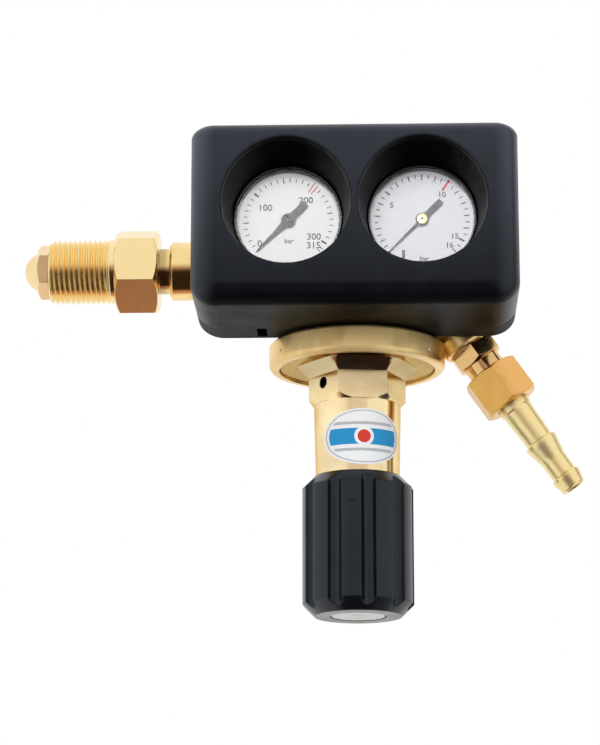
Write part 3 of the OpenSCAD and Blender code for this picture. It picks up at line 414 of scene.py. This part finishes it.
def plain_metal(name, color, roughness, anchor=None, edge=0.2 * MM):
    """Plain plated or bright metal with lathe rings, or with a fine grain where it has no axis."""
    s = Shader(name, color, roughness, metallic=1.0)
    s.round_edges(edge)
    cloud = s.noise(150, 3)
    s.vary_color(cloud, [c * 0.85 for c in color], color)
    s.vary_roughness(cloud, 0.06)
    s.bump(s.rings(anchor, 2200) if anchor else s.noise(2500, 2), 0.008 * MM)
    return s.material


def matt(name, low, high, roughness, scale, depth):
    """Fibre, rubber, nylon, paint or sintered bronze: two close tones and a grain."""
    s = Shader(name, high, roughness, specular=0.35)
    s.vary_color(s.noise(scale * 0.2, 3), low, high)
    s.vary_roughness(s.noise(scale * 0.5, 2), 0.05)
    s.bump(s.noise(scale, 3), depth)
    return s.material


def clear_glass():
    """Window glass that lets the lamps through to the dial."""
    s = Shader("window_clear", (1.0, 1.0, 1.0), 0.0)
    s.set("Transmission Weight", 1.0)
    s.set("IOR", 1.3)
    path = s.node("ShaderNodeLightPath").outputs
    s.clear_where(s.math("MAXIMUM", path["Is Shadow Ray"], path["Is Diffuse Ray"]))
    return s.material


def printed(name, color, roughness=0.55):
    """Printing ink, slightly uneven."""
    s = Shader(name, color, roughness, specular=0.3)
    s.vary_color(s.noise(900, 2), [c * 0.96 for c in color], color)
    s.bump(s.noise(4000, 2), 0.002 * MM)
    return s.material


anchors = {
    "bonnet": axis_anchor("bonnet_axis", (AXIS_X, 0, 0), UP, "root"),
    "knob": axis_anchor("knob_axis", (AXIS_X, 0, 0), UP, "knob_unit"),
    "inlet": axis_anchor("inlet_axis", (0, 0, 0), (1, 0, 0), "root"),
    "nut": axis_anchor("nut_axis", (0, 0, 0), (1, 0, 0), "inlet_swivel"),
    "outlet": axis_anchor("outlet_axis", OUTLET_TIP, OUTLET_DIR, "root"),
    "high": axis_anchor("high_axis", GAUGES["high"], FRONT, "root"),
    "low": axis_anchor("low_axis", GAUGES["low"], FRONT, "root"),
}

# Painted shade darkens the bonnet's colour from the lower height to the upper one
PAINTED_SHADE_Z = (-50 * MM, -38.5 * MM)

MATERIALS = {
    "brass_forged": forged_brass(),
    "bonnet_brass": brass(
        "bonnet_brass", anchors["bonnet"], (1.0, 0.82, 0.50), (0.94, 0.72, 0.39), 0.13, 0.006 * MM,
        edge=0.45 * MM, painted_shade_above=PAINTED_SHADE_Z,
    ),
    "inlet_brass": brass(
        "inlet_brass", anchors["inlet"], (0.95, 0.76, 0.43), (0.88, 0.66, 0.32), 0.16, 0.006 * MM
    ),
    "nut_brass": brass(
        "nut_brass", anchors["nut"], (1.0, 0.79, 0.40), (0.96, 0.73, 0.35), 0.2, 0.006 * MM, edge=0.3 * MM
    ),
    "outlet_brass": brass(
        "outlet_brass", anchors["outlet"], (0.80, 0.53, 0.23), (0.72, 0.45, 0.18), 0.15, 0.002 * MM
    ),
    "tail_brass": brass(
        "tail_brass", anchors["outlet"], (1.0, 0.83, 0.42), (0.98, 0.77, 0.35), 0.34, 0.001 * MM,
        edge=0.0, metallic=0.82,
    ),
    "union_brass": flat_shaded_brass("union_brass", anchors["outlet"], 0.28),
    "brass_turned": brass("brass_turned", anchors["bonnet"], BRASS_PALE, BRASS, 0.3, 0.01 * MM),
    "brass_nut": milled_brass("brass_nut", (1, 1, 0.15), BRASS, BRASS_DEEP, 0.26),
    "housing_black": housing_plastic(),
    "cover_black": moulded_plastic(
        "cover_black", (0.008, 0.0095, 0.012), 0.5, 0.02 * MM, 0.5 * MM, 0.06
    ).material,
    "knob_black": moulded_plastic(
        "knob_black", (0.0035, 0.0055, 0.0075), 0.24, 0.003 * MM, 0.8 * MM, 0.46
    ).material,
    "hub_brass": plain_metal("hub_brass", (0.70, 0.58, 0.26), 0.36),
    "pin_grey": plain_metal("pin_grey", (0.16, 0.165, 0.175), 0.4),
    "ring_grey": plain_metal("ring_grey", (0.32, 0.34, 0.36), 0.3),
    "steel_plain": plain_metal("steel_plain", (0.62, 0.62, 0.63), 0.28),
    "steel_spring": plain_metal("steel_spring", (0.30, 0.30, 0.32), 0.35),
    "cap_silver": plain_metal("cap_silver", (0.66, 0.64, 0.62), 0.34, anchors["knob"]),
    "case_dark": matt("case_dark", (0.012, 0.012, 0.014), (0.02, 0.02, 0.023), 0.35, 1500, 0.006 * MM),
    "dial_white": matt("dial_white", (0.90, 0.91, 0.90), (0.93, 0.935, 0.93), 0.6, 900, 0.003 * MM),
    # Painted shade: the low dial's white is darker and bluer than the high dial's, standing in for the shade and
    # the bluish reflection from its window.
    "low_dial_shaded_white": matt("low_dial_shaded_white", (0.81, 0.82, 0.86), (0.84, 0.85, 0.89), 0.6, 900, 0.003 * MM),
    "pointer_dark": matt("pointer_dark", (0.04, 0.044, 0.05), (0.052, 0.056, 0.062), 0.5, 1500, 0.004 * MM),
    "window_clear": clear_glass(),
    "seal_fibre": matt("seal_fibre", (0.28, 0.08, 0.04), (0.38, 0.13, 0.07), 0.75, 1400, 0.03 * MM),
    "rubber_black": matt("rubber_black", (0.018, 0.018, 0.018), (0.03, 0.03, 0.03), 0.7, 1200, 0.02 * MM),
    "seat_nylon": matt("seat_nylon", (0.80, 0.78, 0.68), (0.86, 0.84, 0.76), 0.45, 1200, 0.01 * MM),
    "bronze_sintered": matt("bronze_sintered", (0.38, 0.24, 0.10), (0.62, 0.44, 0.22), 0.55, 3000, 0.08 * MM),
    "ink_black": printed("ink_black", (0.03, 0.03, 0.035)),
    "ink_red": printed("ink_red", (0.62, 0.018, 0.04)),
    "label_white": printed("label_white", (0.93, 0.94, 0.95), 0.4),
    "label_grey": printed("label_grey", (0.50, 0.52, 0.55), 0.4),
    "label_blue": printed("label_blue", (0.02, 0.30, 0.62), 0.35),
    "label_red": printed("label_red", (0.72, 0.05, 0.03), 0.35),
}

# Nodes that don't look like the slot they belong to
NODE_MATERIALS = {
    "bonnet": "bonnet_brass",
    "inlet_nipple": "inlet_brass",
    "outlet_adapter": "outlet_brass",
    "outlet_nut": "union_brass",
    "outlet_seal": "brass_nut",
    "hose_tail": "tail_brass",
    # The low dial takes the darker, bluer white of painted shade.
    "low_dial": "low_dial_shaded_white",
}


# CAD nodes: welded, smooth apart from their real edges, and given their materials


def smooth_group(angle):
    """Geometry nodes that weld a mesh and smooth every edge flatter than the angle."""
    group = bpy.data.node_groups.new("smooth_faces", "GeometryNodeTree")
    group.interface.new_socket("Geometry", in_out="INPUT", socket_type="NodeSocketGeometry")
    group.interface.new_socket("Geometry", in_out="OUTPUT", socket_type="NodeSocketGeometry")
    new, link = group.nodes.new, group.links.new
    source, result = new("NodeGroupInput"), new("NodeGroupOutput")
    weld = new("GeometryNodeMergeByDistance")
    weld.inputs["Distance"].default_value = 1e-6
    by_face = new("GeometryNodeSetShadeSmooth")
    by_edge = new("GeometryNodeSetShadeSmooth")
    by_edge.domain = "EDGE"
    edge = new("GeometryNodeInputMeshEdgeAngle")
    flatter = new("FunctionNodeCompare")
    flatter.operation = "LESS_THAN"
    flatter.inputs["B"].default_value = angle
    link(source.outputs[0], weld.inputs["Geometry"])
    link(weld.outputs[0], by_face.inputs["Geometry"])
    link(by_face.outputs[0], by_edge.inputs["Geometry"])
    link(edge.outputs["Unsigned Angle"], flatter.inputs["A"])
    link(flatter.outputs[0], by_edge.inputs["Shade Smooth"])
    link(by_edge.outputs[0], result.inputs[0])
    return group


smooth_faces = smooth_group(math.radians(20))


def smooth(obj):
    """Smooths a piece's faces and leaves its real edges sharp."""
    obj.modifiers.new("smooth", "NODES").node_group = smooth_faces
    even = obj.modifiers.new("even", "WEIGHTED_NORMAL")
    even.keep_sharp = True
    even.weight = 100


for name, obj in nodes.items():
    slot = obj.data.materials[0].name.split(".")[0]
    obj.data.materials[0] = MATERIALS[NODE_MATERIALS.get(name, slot)]
    smooth(obj)


# Inlet nut with its real thread


def inlet_nut():
    """Swivel nut: truncated V thread with a run-out, hexagon turned off at 30 degrees, and the bore."""
    pitch = 1.814 * MM
    depth = 0.62 * pitch
    ridges_end = 18.4 * MM
    run_out = 3.4 * MM
    columns = 96
    bore = 6.28 * MM
    lead = -NUT_LOW.x
    turn = math.radians(-4.5)
    flat = (NUT_HIGH.z - NUT_LOW.z) / 2 / math.cos(turn) * math.cos(math.pi / 6)
    hexagon_low, hexagon_high = THREAD_END, NUT_HIGH.x
    land = flat - 0.3 * MM
    profile = ((-0.09, 0.0), (0.09, 0.0), (0.26, 0.5), (0.43, 1.0), (0.57, 1.0), (0.74, 0.5))

    def thread_radius(x, level):
        fade = min(max((ridges_end + run_out - x) / run_out, 0), 1)
        return min(THREAD_R - depth * level * fade, THREAD_R - lead + (x + lead))

    def ring(x, r, turned=0.0):
        return [(x, r * math.cos(a + turned), r * math.sin(a + turned)) for a in angles]

    def hexagon_ring(start, direction):
        """Where the turned end cone meets the six flats."""
        points = []
        for a in angles:
            off = (a + math.pi / 6) % (math.pi / 3) - math.pi / 6
            r = flat / math.cos(off)
            points.append((start + direction * (r - land) * math.tan(math.pi / 6), r))
        return [(x, r * math.cos(a + turn), r * math.sin(a + turn)) for (x, r), a in zip(points, angles)]

    angles = [2 * math.pi * k / columns for k in range(columns)]
    rows = [ring(NUT_LOW.x, bore)]
    for index in range(-2, math.ceil((ridges_end + run_out) / pitch) + 1):
        for phase, level in profile:
            row = []
            for a in angles:
                x = (index + phase + a / (2 * math.pi)) * pitch
                x = min(max(x, NUT_LOW.x), hexagon_low)
                r = thread_radius(x, level)
                row.append((x, r * math.cos(a), r * math.sin(a)))
            rows.append(row)
    rows += [
        ring(hexagon_low, THREAD_R),
        ring(hexagon_low, land, turn),
        hexagon_ring(hexagon_low, 1),
        hexagon_ring(hexagon_high, -1),
        ring(hexagon_high, land, turn),
        ring(hexagon_high, bore),
    ]
    return mesh_from_rows(rows)


threaded_nut = new_object(
    "inlet_nut_threaded", inlet_nut(), "inlet_swivel", MATERIALS["nut_brass"]
)
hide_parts("inlet_nut")
smooth(threaded_nut)


# Dials

SCALE_START = math.radians(225)
SCALE_SWEEP = math.radians(270)
INK = 0.03 * MM
BOLD_TICK = (2.1 * MM, 0.68 * MM)
LONG_TICK = (1.9 * MM, 0.42 * MM)
SHORT_TICK = (1.4 * MM, 0.34 * MM)
UNIT_SIZE = 2.4 * MM
LIMIT_PAST_TICKS = 0.7 * MM

# Places and sizes in mm, from the hub. The high gauge marks its limit by a double line instead of a tick.
DIALS = {
    "high": {
        "full": 315,
        "ticks": [10 * i for i in range(32) if i != 20] + [315],
        "long": {50, 150, 250},
        "bold": {0, 100, 300},
        "numbers": {
            "0": (-9.9, -8.0),
            "100": (-8.0, 4.8),
            "200": (6.1, 7.4),
            "300": (8.8, -5.7),
            "315": (8.7, -8.8),
        },
        "number_size": 3.3,
        "outer_r": 15.6,
        "limit": 200,
        "limit_lines": (-2.6, 2.6),
        "limit_inner_r": 12.4,
        "limit_width": 0.42,
        "unit": (0.2, -7.2),
        "gasket_r": 17.3,
    },
    "low": {
        "full": 16,
        "ticks": [0.5 * i for i in range(33)],
        "long": {1, 2, 3, 4, 6, 7, 8, 9, 11, 12, 13, 14, 16},
        "bold": {0, 5, 10, 15},
        "numbers": {"5": (-10.4, 5.4), "10": (6.9, 9.0), "15": (11.2, -6.0), "16": (9.3, -9.2)},
        "number_size": 2.8,
        "outer_r": 16.4,
        "limit": 10,
        "limit_lines": (0,),
        "limit_inner_r": 12.6,
        "limit_width": 0.8,
        "unit": (0.6, -13.9),
        "gasket_r": 17.6,
    },
}


def dial_place(side):
    """Turns (right, up, out) on one dial's face into a frame point."""
    centre = GAUGES[side]
    return lambda x, y, out: (centre.x + x, DIAL_Y - out, centre.z + y)


def scale_angle(dial, value):
    """Turn of a value on the scale, from the right and against the clock."""
    return SCALE_START - SCALE_SWEEP * value / dial["full"]


def radial_bar(turn, inner, outer, width):
    """Outline of a bar that lies along a radius of the dial."""
    x, y = math.cos(turn), math.sin(turn)
    return bar_outline((inner * x, inner * y), (outer * x, outer * y), width)


def add_words(bm, words, size, x, y, place):
    """Adds letters to a dial's print, facing forwards."""
    mesh = words_mesh(words, size, INK)
    turn = Matrix(((1, 0, 0), (0, 0, -1), (0, 1, 0))).to_4x4()
    mesh.transform(Matrix.Translation(place(x, y, INK / 2)) @ turn)
    bm.from_mesh(mesh)
    bpy.data.meshes.remove(mesh)


def finish_print(bm, name, ink):
    """Puts finished print on the fixed body."""
    new_object(name, finish_mesh(bm, name), "root", MATERIALS[ink])


def dial_print(side):
    """Ticks, numbers and the unit in black, and the limit line in red."""
    dial, place = DIALS[side], dial_place(side)
    outer = dial["outer_r"] * MM
    black = bmesh.new()
    for value in dial["ticks"]:
        if value in dial["bold"]:
            length, width = BOLD_TICK
        elif value in dial["long"]:
            length, width = LONG_TICK
        else:
            length, width = SHORT_TICK
        turn = scale_angle(dial, value)
        add_prism(black, radial_bar(turn, outer - length, outer, width), 0, INK, place)
    for words, (x, y) in dial["numbers"].items():
        add_words(black, words, dial["number_size"] * MM, x * MM, y * MM, place)
    x, y = dial["unit"]
    add_words(black, "bar", UNIT_SIZE, x * MM, y * MM, place)
    finish_print(black, f"{side}_scale", "ink_black")

    red = bmesh.new()
    inner, outer = dial["limit_inner_r"] * MM, outer + LIMIT_PAST_TICKS
    for degrees in dial["limit_lines"]:
        turn = scale_angle(dial, dial["limit"]) + math.radians(degrees)
        line = radial_bar(turn, inner, outer, dial["limit_width"] * MM)
        add_prism(red, line, 0, 1.5 * INK, place)
    finish_print(red, f"{side}_limit", "ink_red")


def gauge_rings(side):
    """Dark gasket between the dial and the window, and the bright edges of the window's seat."""
    at = Vector((GAUGES[side].x, DIAL_Y, GAUGES[side].z))
    inner, outer = DIALS[side]["gasket_r"] * MM, 18.85 * MM
    high = 2.25 * MM
    seat_r, seat_high = 18.3 * MM, 3.75 * MM
    wire_r = 0.12 * MM
    section = [
        (inner + 0.5 * MM, 0.0),
        (inner + 0.1 * MM, high - 0.2 * MM),
        (inner + 0.3 * MM, high),
        (outer, high),
        (outer, 0.0),
    ]
    rubber = MATERIALS["rubber_black"]
    smooth(new_object(f"{side}_gasket", lathe(section, at, FRONT), "root", rubber))
    for index, (r, out) in enumerate(((inner + 0.3 * MM, high), (seat_r, seat_high))):
        mesh = lathe(wire_section(r, out, wire_r), at, FRONT)
        smooth(new_object(f"{side}_ring_{index + 1}", mesh, "root", MATERIALS["ring_grey"]))


# Hub details as (radius, height over the pointer) in mm
LOW_HUB = ((0.02, -0.35), (2.05, -0.35), (2.05, -0.1), (1.7, 0.12), (0.9, 0.2), (0.02, 0.22))
LOW_PIN = ((0.02, 0.1), (0.5, 0.1), (0.5, 0.26), (0.02, 0.28))
HIGH_PIN = ((0.02, -0.1), (0.5, -0.1), (0.5, 0.1), (0.3, 0.2), (0.02, 0.22))


def hub_piece(name, side, profile, material, segments):
    """Small turned piece on a pointer's hub, which turns with it."""
    at = Vector((GAUGES[side].x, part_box(f"{side}_pointer")[0].y, GAUGES[side].z))
    mesh = lathe([(r * MM, out * MM) for r, out in profile], at, FRONT, segments)
    return new_object(name, mesh, f"{side}_needle", MATERIALS[material])


def low_stop():
    """Stop pin under the right pointer's end, as a short upright bar."""
    turn = SCALE_START + math.radians(17)
    r, half, width, height = 13.9 * MM, 1.3 * MM, 0.9 * MM, 1.0 * MM
    x, y = r * math.cos(turn), r * math.sin(turn)
    bm = bmesh.new()
    add_prism(bm, bar_outline((x, y - half), (x, y + half), width), 0, height, dial_place("low"))
    finish_print(bm, "low_stop", "ink_black")


for side in SIDES:
    dial_print(side)
    gauge_rings(side)
smooth(hub_piece("low_hub", "low", LOW_HUB, "hub_brass", 48))
hub_piece("low_pin", "low", LOW_PIN, "pointer_dark", 24)
smooth(hub_piece("high_pin", "high", HIGH_PIN, "pin_grey", 32))
low_stop()


# Sticker on the bonnet's tube: a plain generic design

bonnet_tree = BVHTree.FromPolygons(
    [v.co for v in nodes["bonnet"].data.vertices],
    [list(p.vertices) for p in nodes["bonnet"].data.polygons],
)
LABEL_Z = -64 * MM
LABEL_TURN = math.radians(9.5)
LABEL_HALF_W = 15.4 * MM
LABEL_HALF_H = 9.9 * MM
BAND_SHARE = 0.84
TUBE_R = 15 * MM


def on_tube(u, v, lift):
    """Frame point over the bonnet's tube, u round it and v up, both from the sticker's middle."""
    a = LABEL_TURN + u / TUBE_R
    out = Vector((math.sin(a), -math.cos(a), 0))
    z = LABEL_Z + v
    start = Vector((AXIS_X, 0, z)) + out * 3 * TUBE_R
    hit = bonnet_tree.ray_cast(start, -out)[0]
    return hit + out * lift


def film(name, outline, low, high, ink, rings):
    """Thin closed film over the tube, inside a flat convex outline round its own middle."""
    count = len(outline)
    cu = sum(u for u, _ in outline) / count
    cv = sum(v for _, v in outline) / count
    bm = bmesh.new()
    layers = []

    def ring(share, lift):
        return [bm.verts.new(on_tube(cu + (u - cu) * share, cv + (v - cv) * share, lift)) for u, v in outline]

    for lift in (high, low):
        centre = bm.verts.new(on_tube(cu, cv, lift))
        grid = [ring(k / rings, lift) for k in range(1, rings + 1)]
        layers.append(grid)
        for i in range(count):
            j = (i + 1) % count
            bm.faces.new((centre, grid[0][i], grid[0][j]))
            for a, b in zip(grid, grid[1:]):
                bm.faces.new((a[i], b[i], b[j], a[j]))
    top, bottom = layers[0][-1], layers[1][-1]
    for i in range(count):
        j = (i + 1) % count
        bm.faces.new((top[i], bottom[i], bottom[j], top[j]))
    bmesh.ops.recalc_face_normals(bm, faces=bm.faces)
    smooth(new_object(name, finish_mesh(bm, name), "root", MATERIALS[ink]))


def oval(share, count=72):
    """The sticker's outline, or one inside it."""
    return [(LABEL_HALF_W * x, LABEL_HALF_H * y) for x, y in circle(share, count)]


def band(low, high, count=24):
    """Part of an oval between two heights, as shares of its half height, with points all along its edges."""

    def steps(start, end):
        return [start + (end - start) * k / count for k in range(count)]

    a, b = math.asin(low), math.asin(high)
    right = [(math.cos(t), math.sin(t)) for t in steps(a, b)]
    top = [(x, high) for x in steps(math.cos(b), -math.cos(b))]
    left = [(-math.cos(t), math.sin(t)) for t in steps(b, a)]
    bottom = [(x, low) for x in steps(-math.cos(a), math.cos(a))]
    half_w, half_h = LABEL_HALF_W * BAND_SHARE, LABEL_HALF_H * BAND_SHARE
    return [(half_w * x, half_h * y) for x, y in right + top + left + bottom]


# Name, outline, lower and upper height over the tube in mm, ink, and rings of faces
LABEL_LAYERS = (
    ("label_base", oval(1.0), -0.05, 0.10, "label_white", 12),
    ("label_rim", oval(0.94), 0.02, 0.14, "label_grey", 12),
    ("label_field", oval(0.90), 0.06, 0.18, "label_white", 12),
    ("label_band_blue", band(-0.34, 0.34), 0.10, 0.23, "label_blue", 12),
    ("label_band_top", band(0.50, 0.62), 0.10, 0.23, "label_grey", 12),
    ("label_band_low", band(-0.62, -0.50), 0.10, 0.23, "label_grey", 12),
    ("label_dot", circle(3.4 * MM, 36), 0.14, 0.29, "label_white", 5),
    ("label_dot_middle", circle(2.3 * MM, 36), 0.18, 0.34, "label_red", 4),
)
for name, outline, low, high, ink, rings in LABEL_LAYERS:
    film(name, outline, low * MM, high * MM, ink, rings)


# Knob: moulded line on the front land, and two fine rings on its end disc


def knob_mark():
    """Raised line near the knob's upper end, which shows its turn."""
    turn = math.radians(-6.1)
    half, width = 1.6 * MM, 0.45 * MM
    sunk, raised = -0.3 * MM, 0.1 * MM
    below_top = 11.5 * MM
    out = Vector((math.sin(turn), -math.cos(turn), 0))
    across = Vector((math.cos(turn), math.sin(turn), 0))
    r = (KNOB_HIGH.x - KNOB_LOW.x) / 2
    centre = Vector((AXIS_X, 0, KNOB_HIGH.z - below_top))

    def place(x, y, lift):
        return centre + out * (math.sqrt(r * r - x * x) + lift) + across * x + Vector((0, 0, y))

    bm = bmesh.new()
    add_prism(bm, bar_outline((-half, 0), (half, 0), width), sunk, raised, place)
    mesh = finish_mesh(bm, "knob_mark")
    new_object("knob_mark", mesh, "knob_unit", MATERIALS["knob_black"])


def cap_rings():
    """Two flat rings on the cap. They are set in so far that they stay above the knob's lower end."""
    wire_r, flat = 0.22 * MM, 0.6
    at = Vector((AXIS_X, 0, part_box("knob_cap")[0].z + 0.05 * MM))
    silver = MATERIALS["cap_silver"]
    for index, ring_r in enumerate((3.2 * MM, 8.6 * MM)):
        mesh = lathe(wire_section(ring_r, 0.0, wire_r, flat), at, -UP)
        smooth(new_object(f"knob_cap_ring_{index + 1}", mesh, "knob_unit", silver))


knob_mark()
cap_rings()


# Camera, light and floor

CAMERA_AT = Vector((0.1199, -0.983, -0.280))
CAMERA_UP = math.radians(13.85)
CAMERA_LEFT = math.radians(1.85)
LENS_MM = 138.2
SENSOR_MM = 36
CAMERA_REACH = 20


def studio_camera():
    """Camera in front of the part and below it, looking up."""
    data = bpy.data.cameras.new("camera")
    data.lens = LENS_MM
    data.sensor_width = SENSOR_MM
    data.clip_end = CAMERA_REACH
    camera = bpy.data.objects.new("camera", data)
    bpy.context.scene.collection.objects.link(camera)
    level = math.cos(CAMERA_UP)
    look = Vector((-math.sin(CAMERA_LEFT) * level, math.cos(CAMERA_LEFT) * level, math.sin(CAMERA_UP)))
    camera.location = CAMERA_AT
    camera.rotation_mode = "QUATERNION"
    camera.rotation_quaternion = look.to_track_quat("-Z", "Y")
    bpy.context.scene.camera = camera


studio_camera()
bpy.context.scene.view_settings.view_transform = "Standard"

LAMP_TARGET = Vector((AXIS_X, -0.03, -0.02))


def soft_lamp(name, direction, distance, size, energy):
    """Square lamp that lights the object from a direction. Gloss comes from the world instead."""
    data = bpy.data.lights.new(name, "AREA")
    data.size = size
    data.energy = energy
    lamp = bpy.data.objects.new(name, data)
    bpy.context.scene.collection.objects.link(lamp)
    way = Vector(direction).normalized()
    lamp.location = LAMP_TARGET + way * distance
    lamp.rotation_mode = "QUATERNION"
    lamp.rotation_quaternion = way.to_track_quat("Z", "Y")
    lamp.visible_camera = False
    lamp.visible_glossy = False


soft_lamp("key", direction=(-0.10, -1.0, 0.20), distance=1.5, size=0.7, energy=13)
soft_lamp("top", direction=(0.1, -0.25, 1.0), distance=1.4, size=0.9, energy=4)


# The room that the gloss mirrors. Turns are in radians from the front towards the right, and the rest are
# levels, or parts of a direction of length 1.
WALL_LEVEL = 0.94
DIFFUSE_LEVEL = 0.5
LEFT_FADE = (-0.95, -0.60)
RIGHT_PANEL_START = (1.22, 1.36)
GAP_START = (1.54, 1.60)
GAP_END = (1.96, 2.04)
GAP_DEPTH = 0.95
BACK_Y = (0.30, 0.55)
PIT_Z = (-0.30, 0.36)
PIT_X = (0.36, 0.52)
PIT_BACK_Y = (0.02, 0.13)
PIT_LEVELS = (0.03, 0.52)
PIT_TINT = (1.0, 0.54, 0.40, 1)
WHITE = (1, 1, 1, 1)


def studio_world():
    """White for the camera, an even level for diffuse light, and a light tent with dark gaps for gloss."""
    world = bpy.data.worlds.new("studio")
    bpy.context.scene.world = world
    world.use_nodes = True
    tree = world.node_tree
    tree.nodes.clear()

    def node(kind, inputs=None, **settings):
        return add_node(tree, kind, inputs, **settings)

    def calc(operation, a, b=0.0):
        return node("ShaderNodeMath", {0: a, 1: b}, operation=operation).outputs[0]

    def ramp(value, start, end, low, high):
        inputs = {"Value": value, "From Min": start, "From Max": end, "To Min": low, "To Max": high}
        return node("ShaderNodeMapRange", inputs, interpolation_type="SMOOTHSTEP").outputs[0]

    def blend(fac, first, second):
        """Level that goes from the first to the second as fac goes from 0 to 1."""
        kept = calc("MULTIPLY", first, calc("SUBTRACT", 1.0, fac))
        return calc("ADD", kept, calc("MULTIPLY", fac, second))

    way = node("ShaderNodeSeparateXYZ", {0: node("ShaderNodeTexCoord").outputs["Generated"]}).outputs
    turn = calc("ARCTAN2", way[0], calc("MULTIPLY", way[1], -1.0))
    left = ramp(turn, *LEFT_FADE, 1.0, WALL_LEVEL)
    right_panel = ramp(turn, *RIGHT_PANEL_START, 0.0, 0.10)
    gap = calc("MULTIPLY", ramp(turn, *GAP_START, 0.0, 1.0), ramp(turn, *GAP_END, 1.0, 0.0))
    lit = calc("SUBTRACT", 1.0, calc("MULTIPLY", gap, GAP_DEPTH))
    walls = calc("MULTIPLY", calc("ADD", left, right_panel), lit)
    behind = ramp(way[1], *BACK_Y, 0.0, 1.0)
    low = ramp(way[2], *PIT_Z, 1.0, 0.0)
    middle = ramp(calc("ABSOLUTE", way[0]), *PIT_X, 1.0, 0.0)
    pit = calc("MULTIPLY", calc("MULTIPLY", low, middle), calc("SUBTRACT", 1.0, behind))
    level = blend(pit, walls, ramp(way[1], *PIT_BACK_Y, *PIT_LEVELS))
    level = blend(behind, level, 1.0)
    path = node("ShaderNodeLightPath").outputs
    level = blend(path["Is Diffuse Ray"], level, DIFFUSE_LEVEL)
    level = calc("MAXIMUM", level, path["Is Camera Ray"])
    warmth = node("ShaderNodeMix", {0: pit, 6: WHITE, 7: PIT_TINT}, data_type="RGBA")
    plain = calc("MAXIMUM", path["Is Camera Ray"], path["Is Diffuse Ray"])
    tint = node("ShaderNodeMix", {0: plain, 6: warmth.outputs[2], 7: WHITE}, data_type="RGBA")
    shade = node("ShaderNodeBackground", {"Color": tint.outputs[2], "Strength": level})
    out = node("ShaderNodeOutputWorld")
    tree.links.new(shade.outputs[0], out.inputs["Surface"])


studio_world()


def studio_floor():
    """Pale floor well below, whose underside isn't seen."""
    half, z = 9.0, -0.45
    glow = 0.4
    corners = [(-half, -half, z), (half, -half, z), (half, half, z), (-half, half, z)]
    mesh = bpy.data.meshes.new("floor")
    mesh.from_pydata(corners, [], [(0, 1, 2, 3)])
    floor = bpy.data.objects.new("floor", mesh)
    bpy.context.scene.collection.objects.link(floor)
    s = Shader("floor_paper", (0.9, 0.9, 0.9), 0.9, specular=0.1)
    s.set("Emission Color", WHITE)
    s.set("Emission Strength", glow)
    s.bump(s.noise(900, 2), 0.02 * MM)
    s.clear_where(s.node("ShaderNodeNewGeometry").outputs["Backfacing"])
    mesh.materials.append(s.material)
    floor.visible_glossy = False
    floor.visible_diffuse = False
    floor.visible_transmission = False


studio_floor()
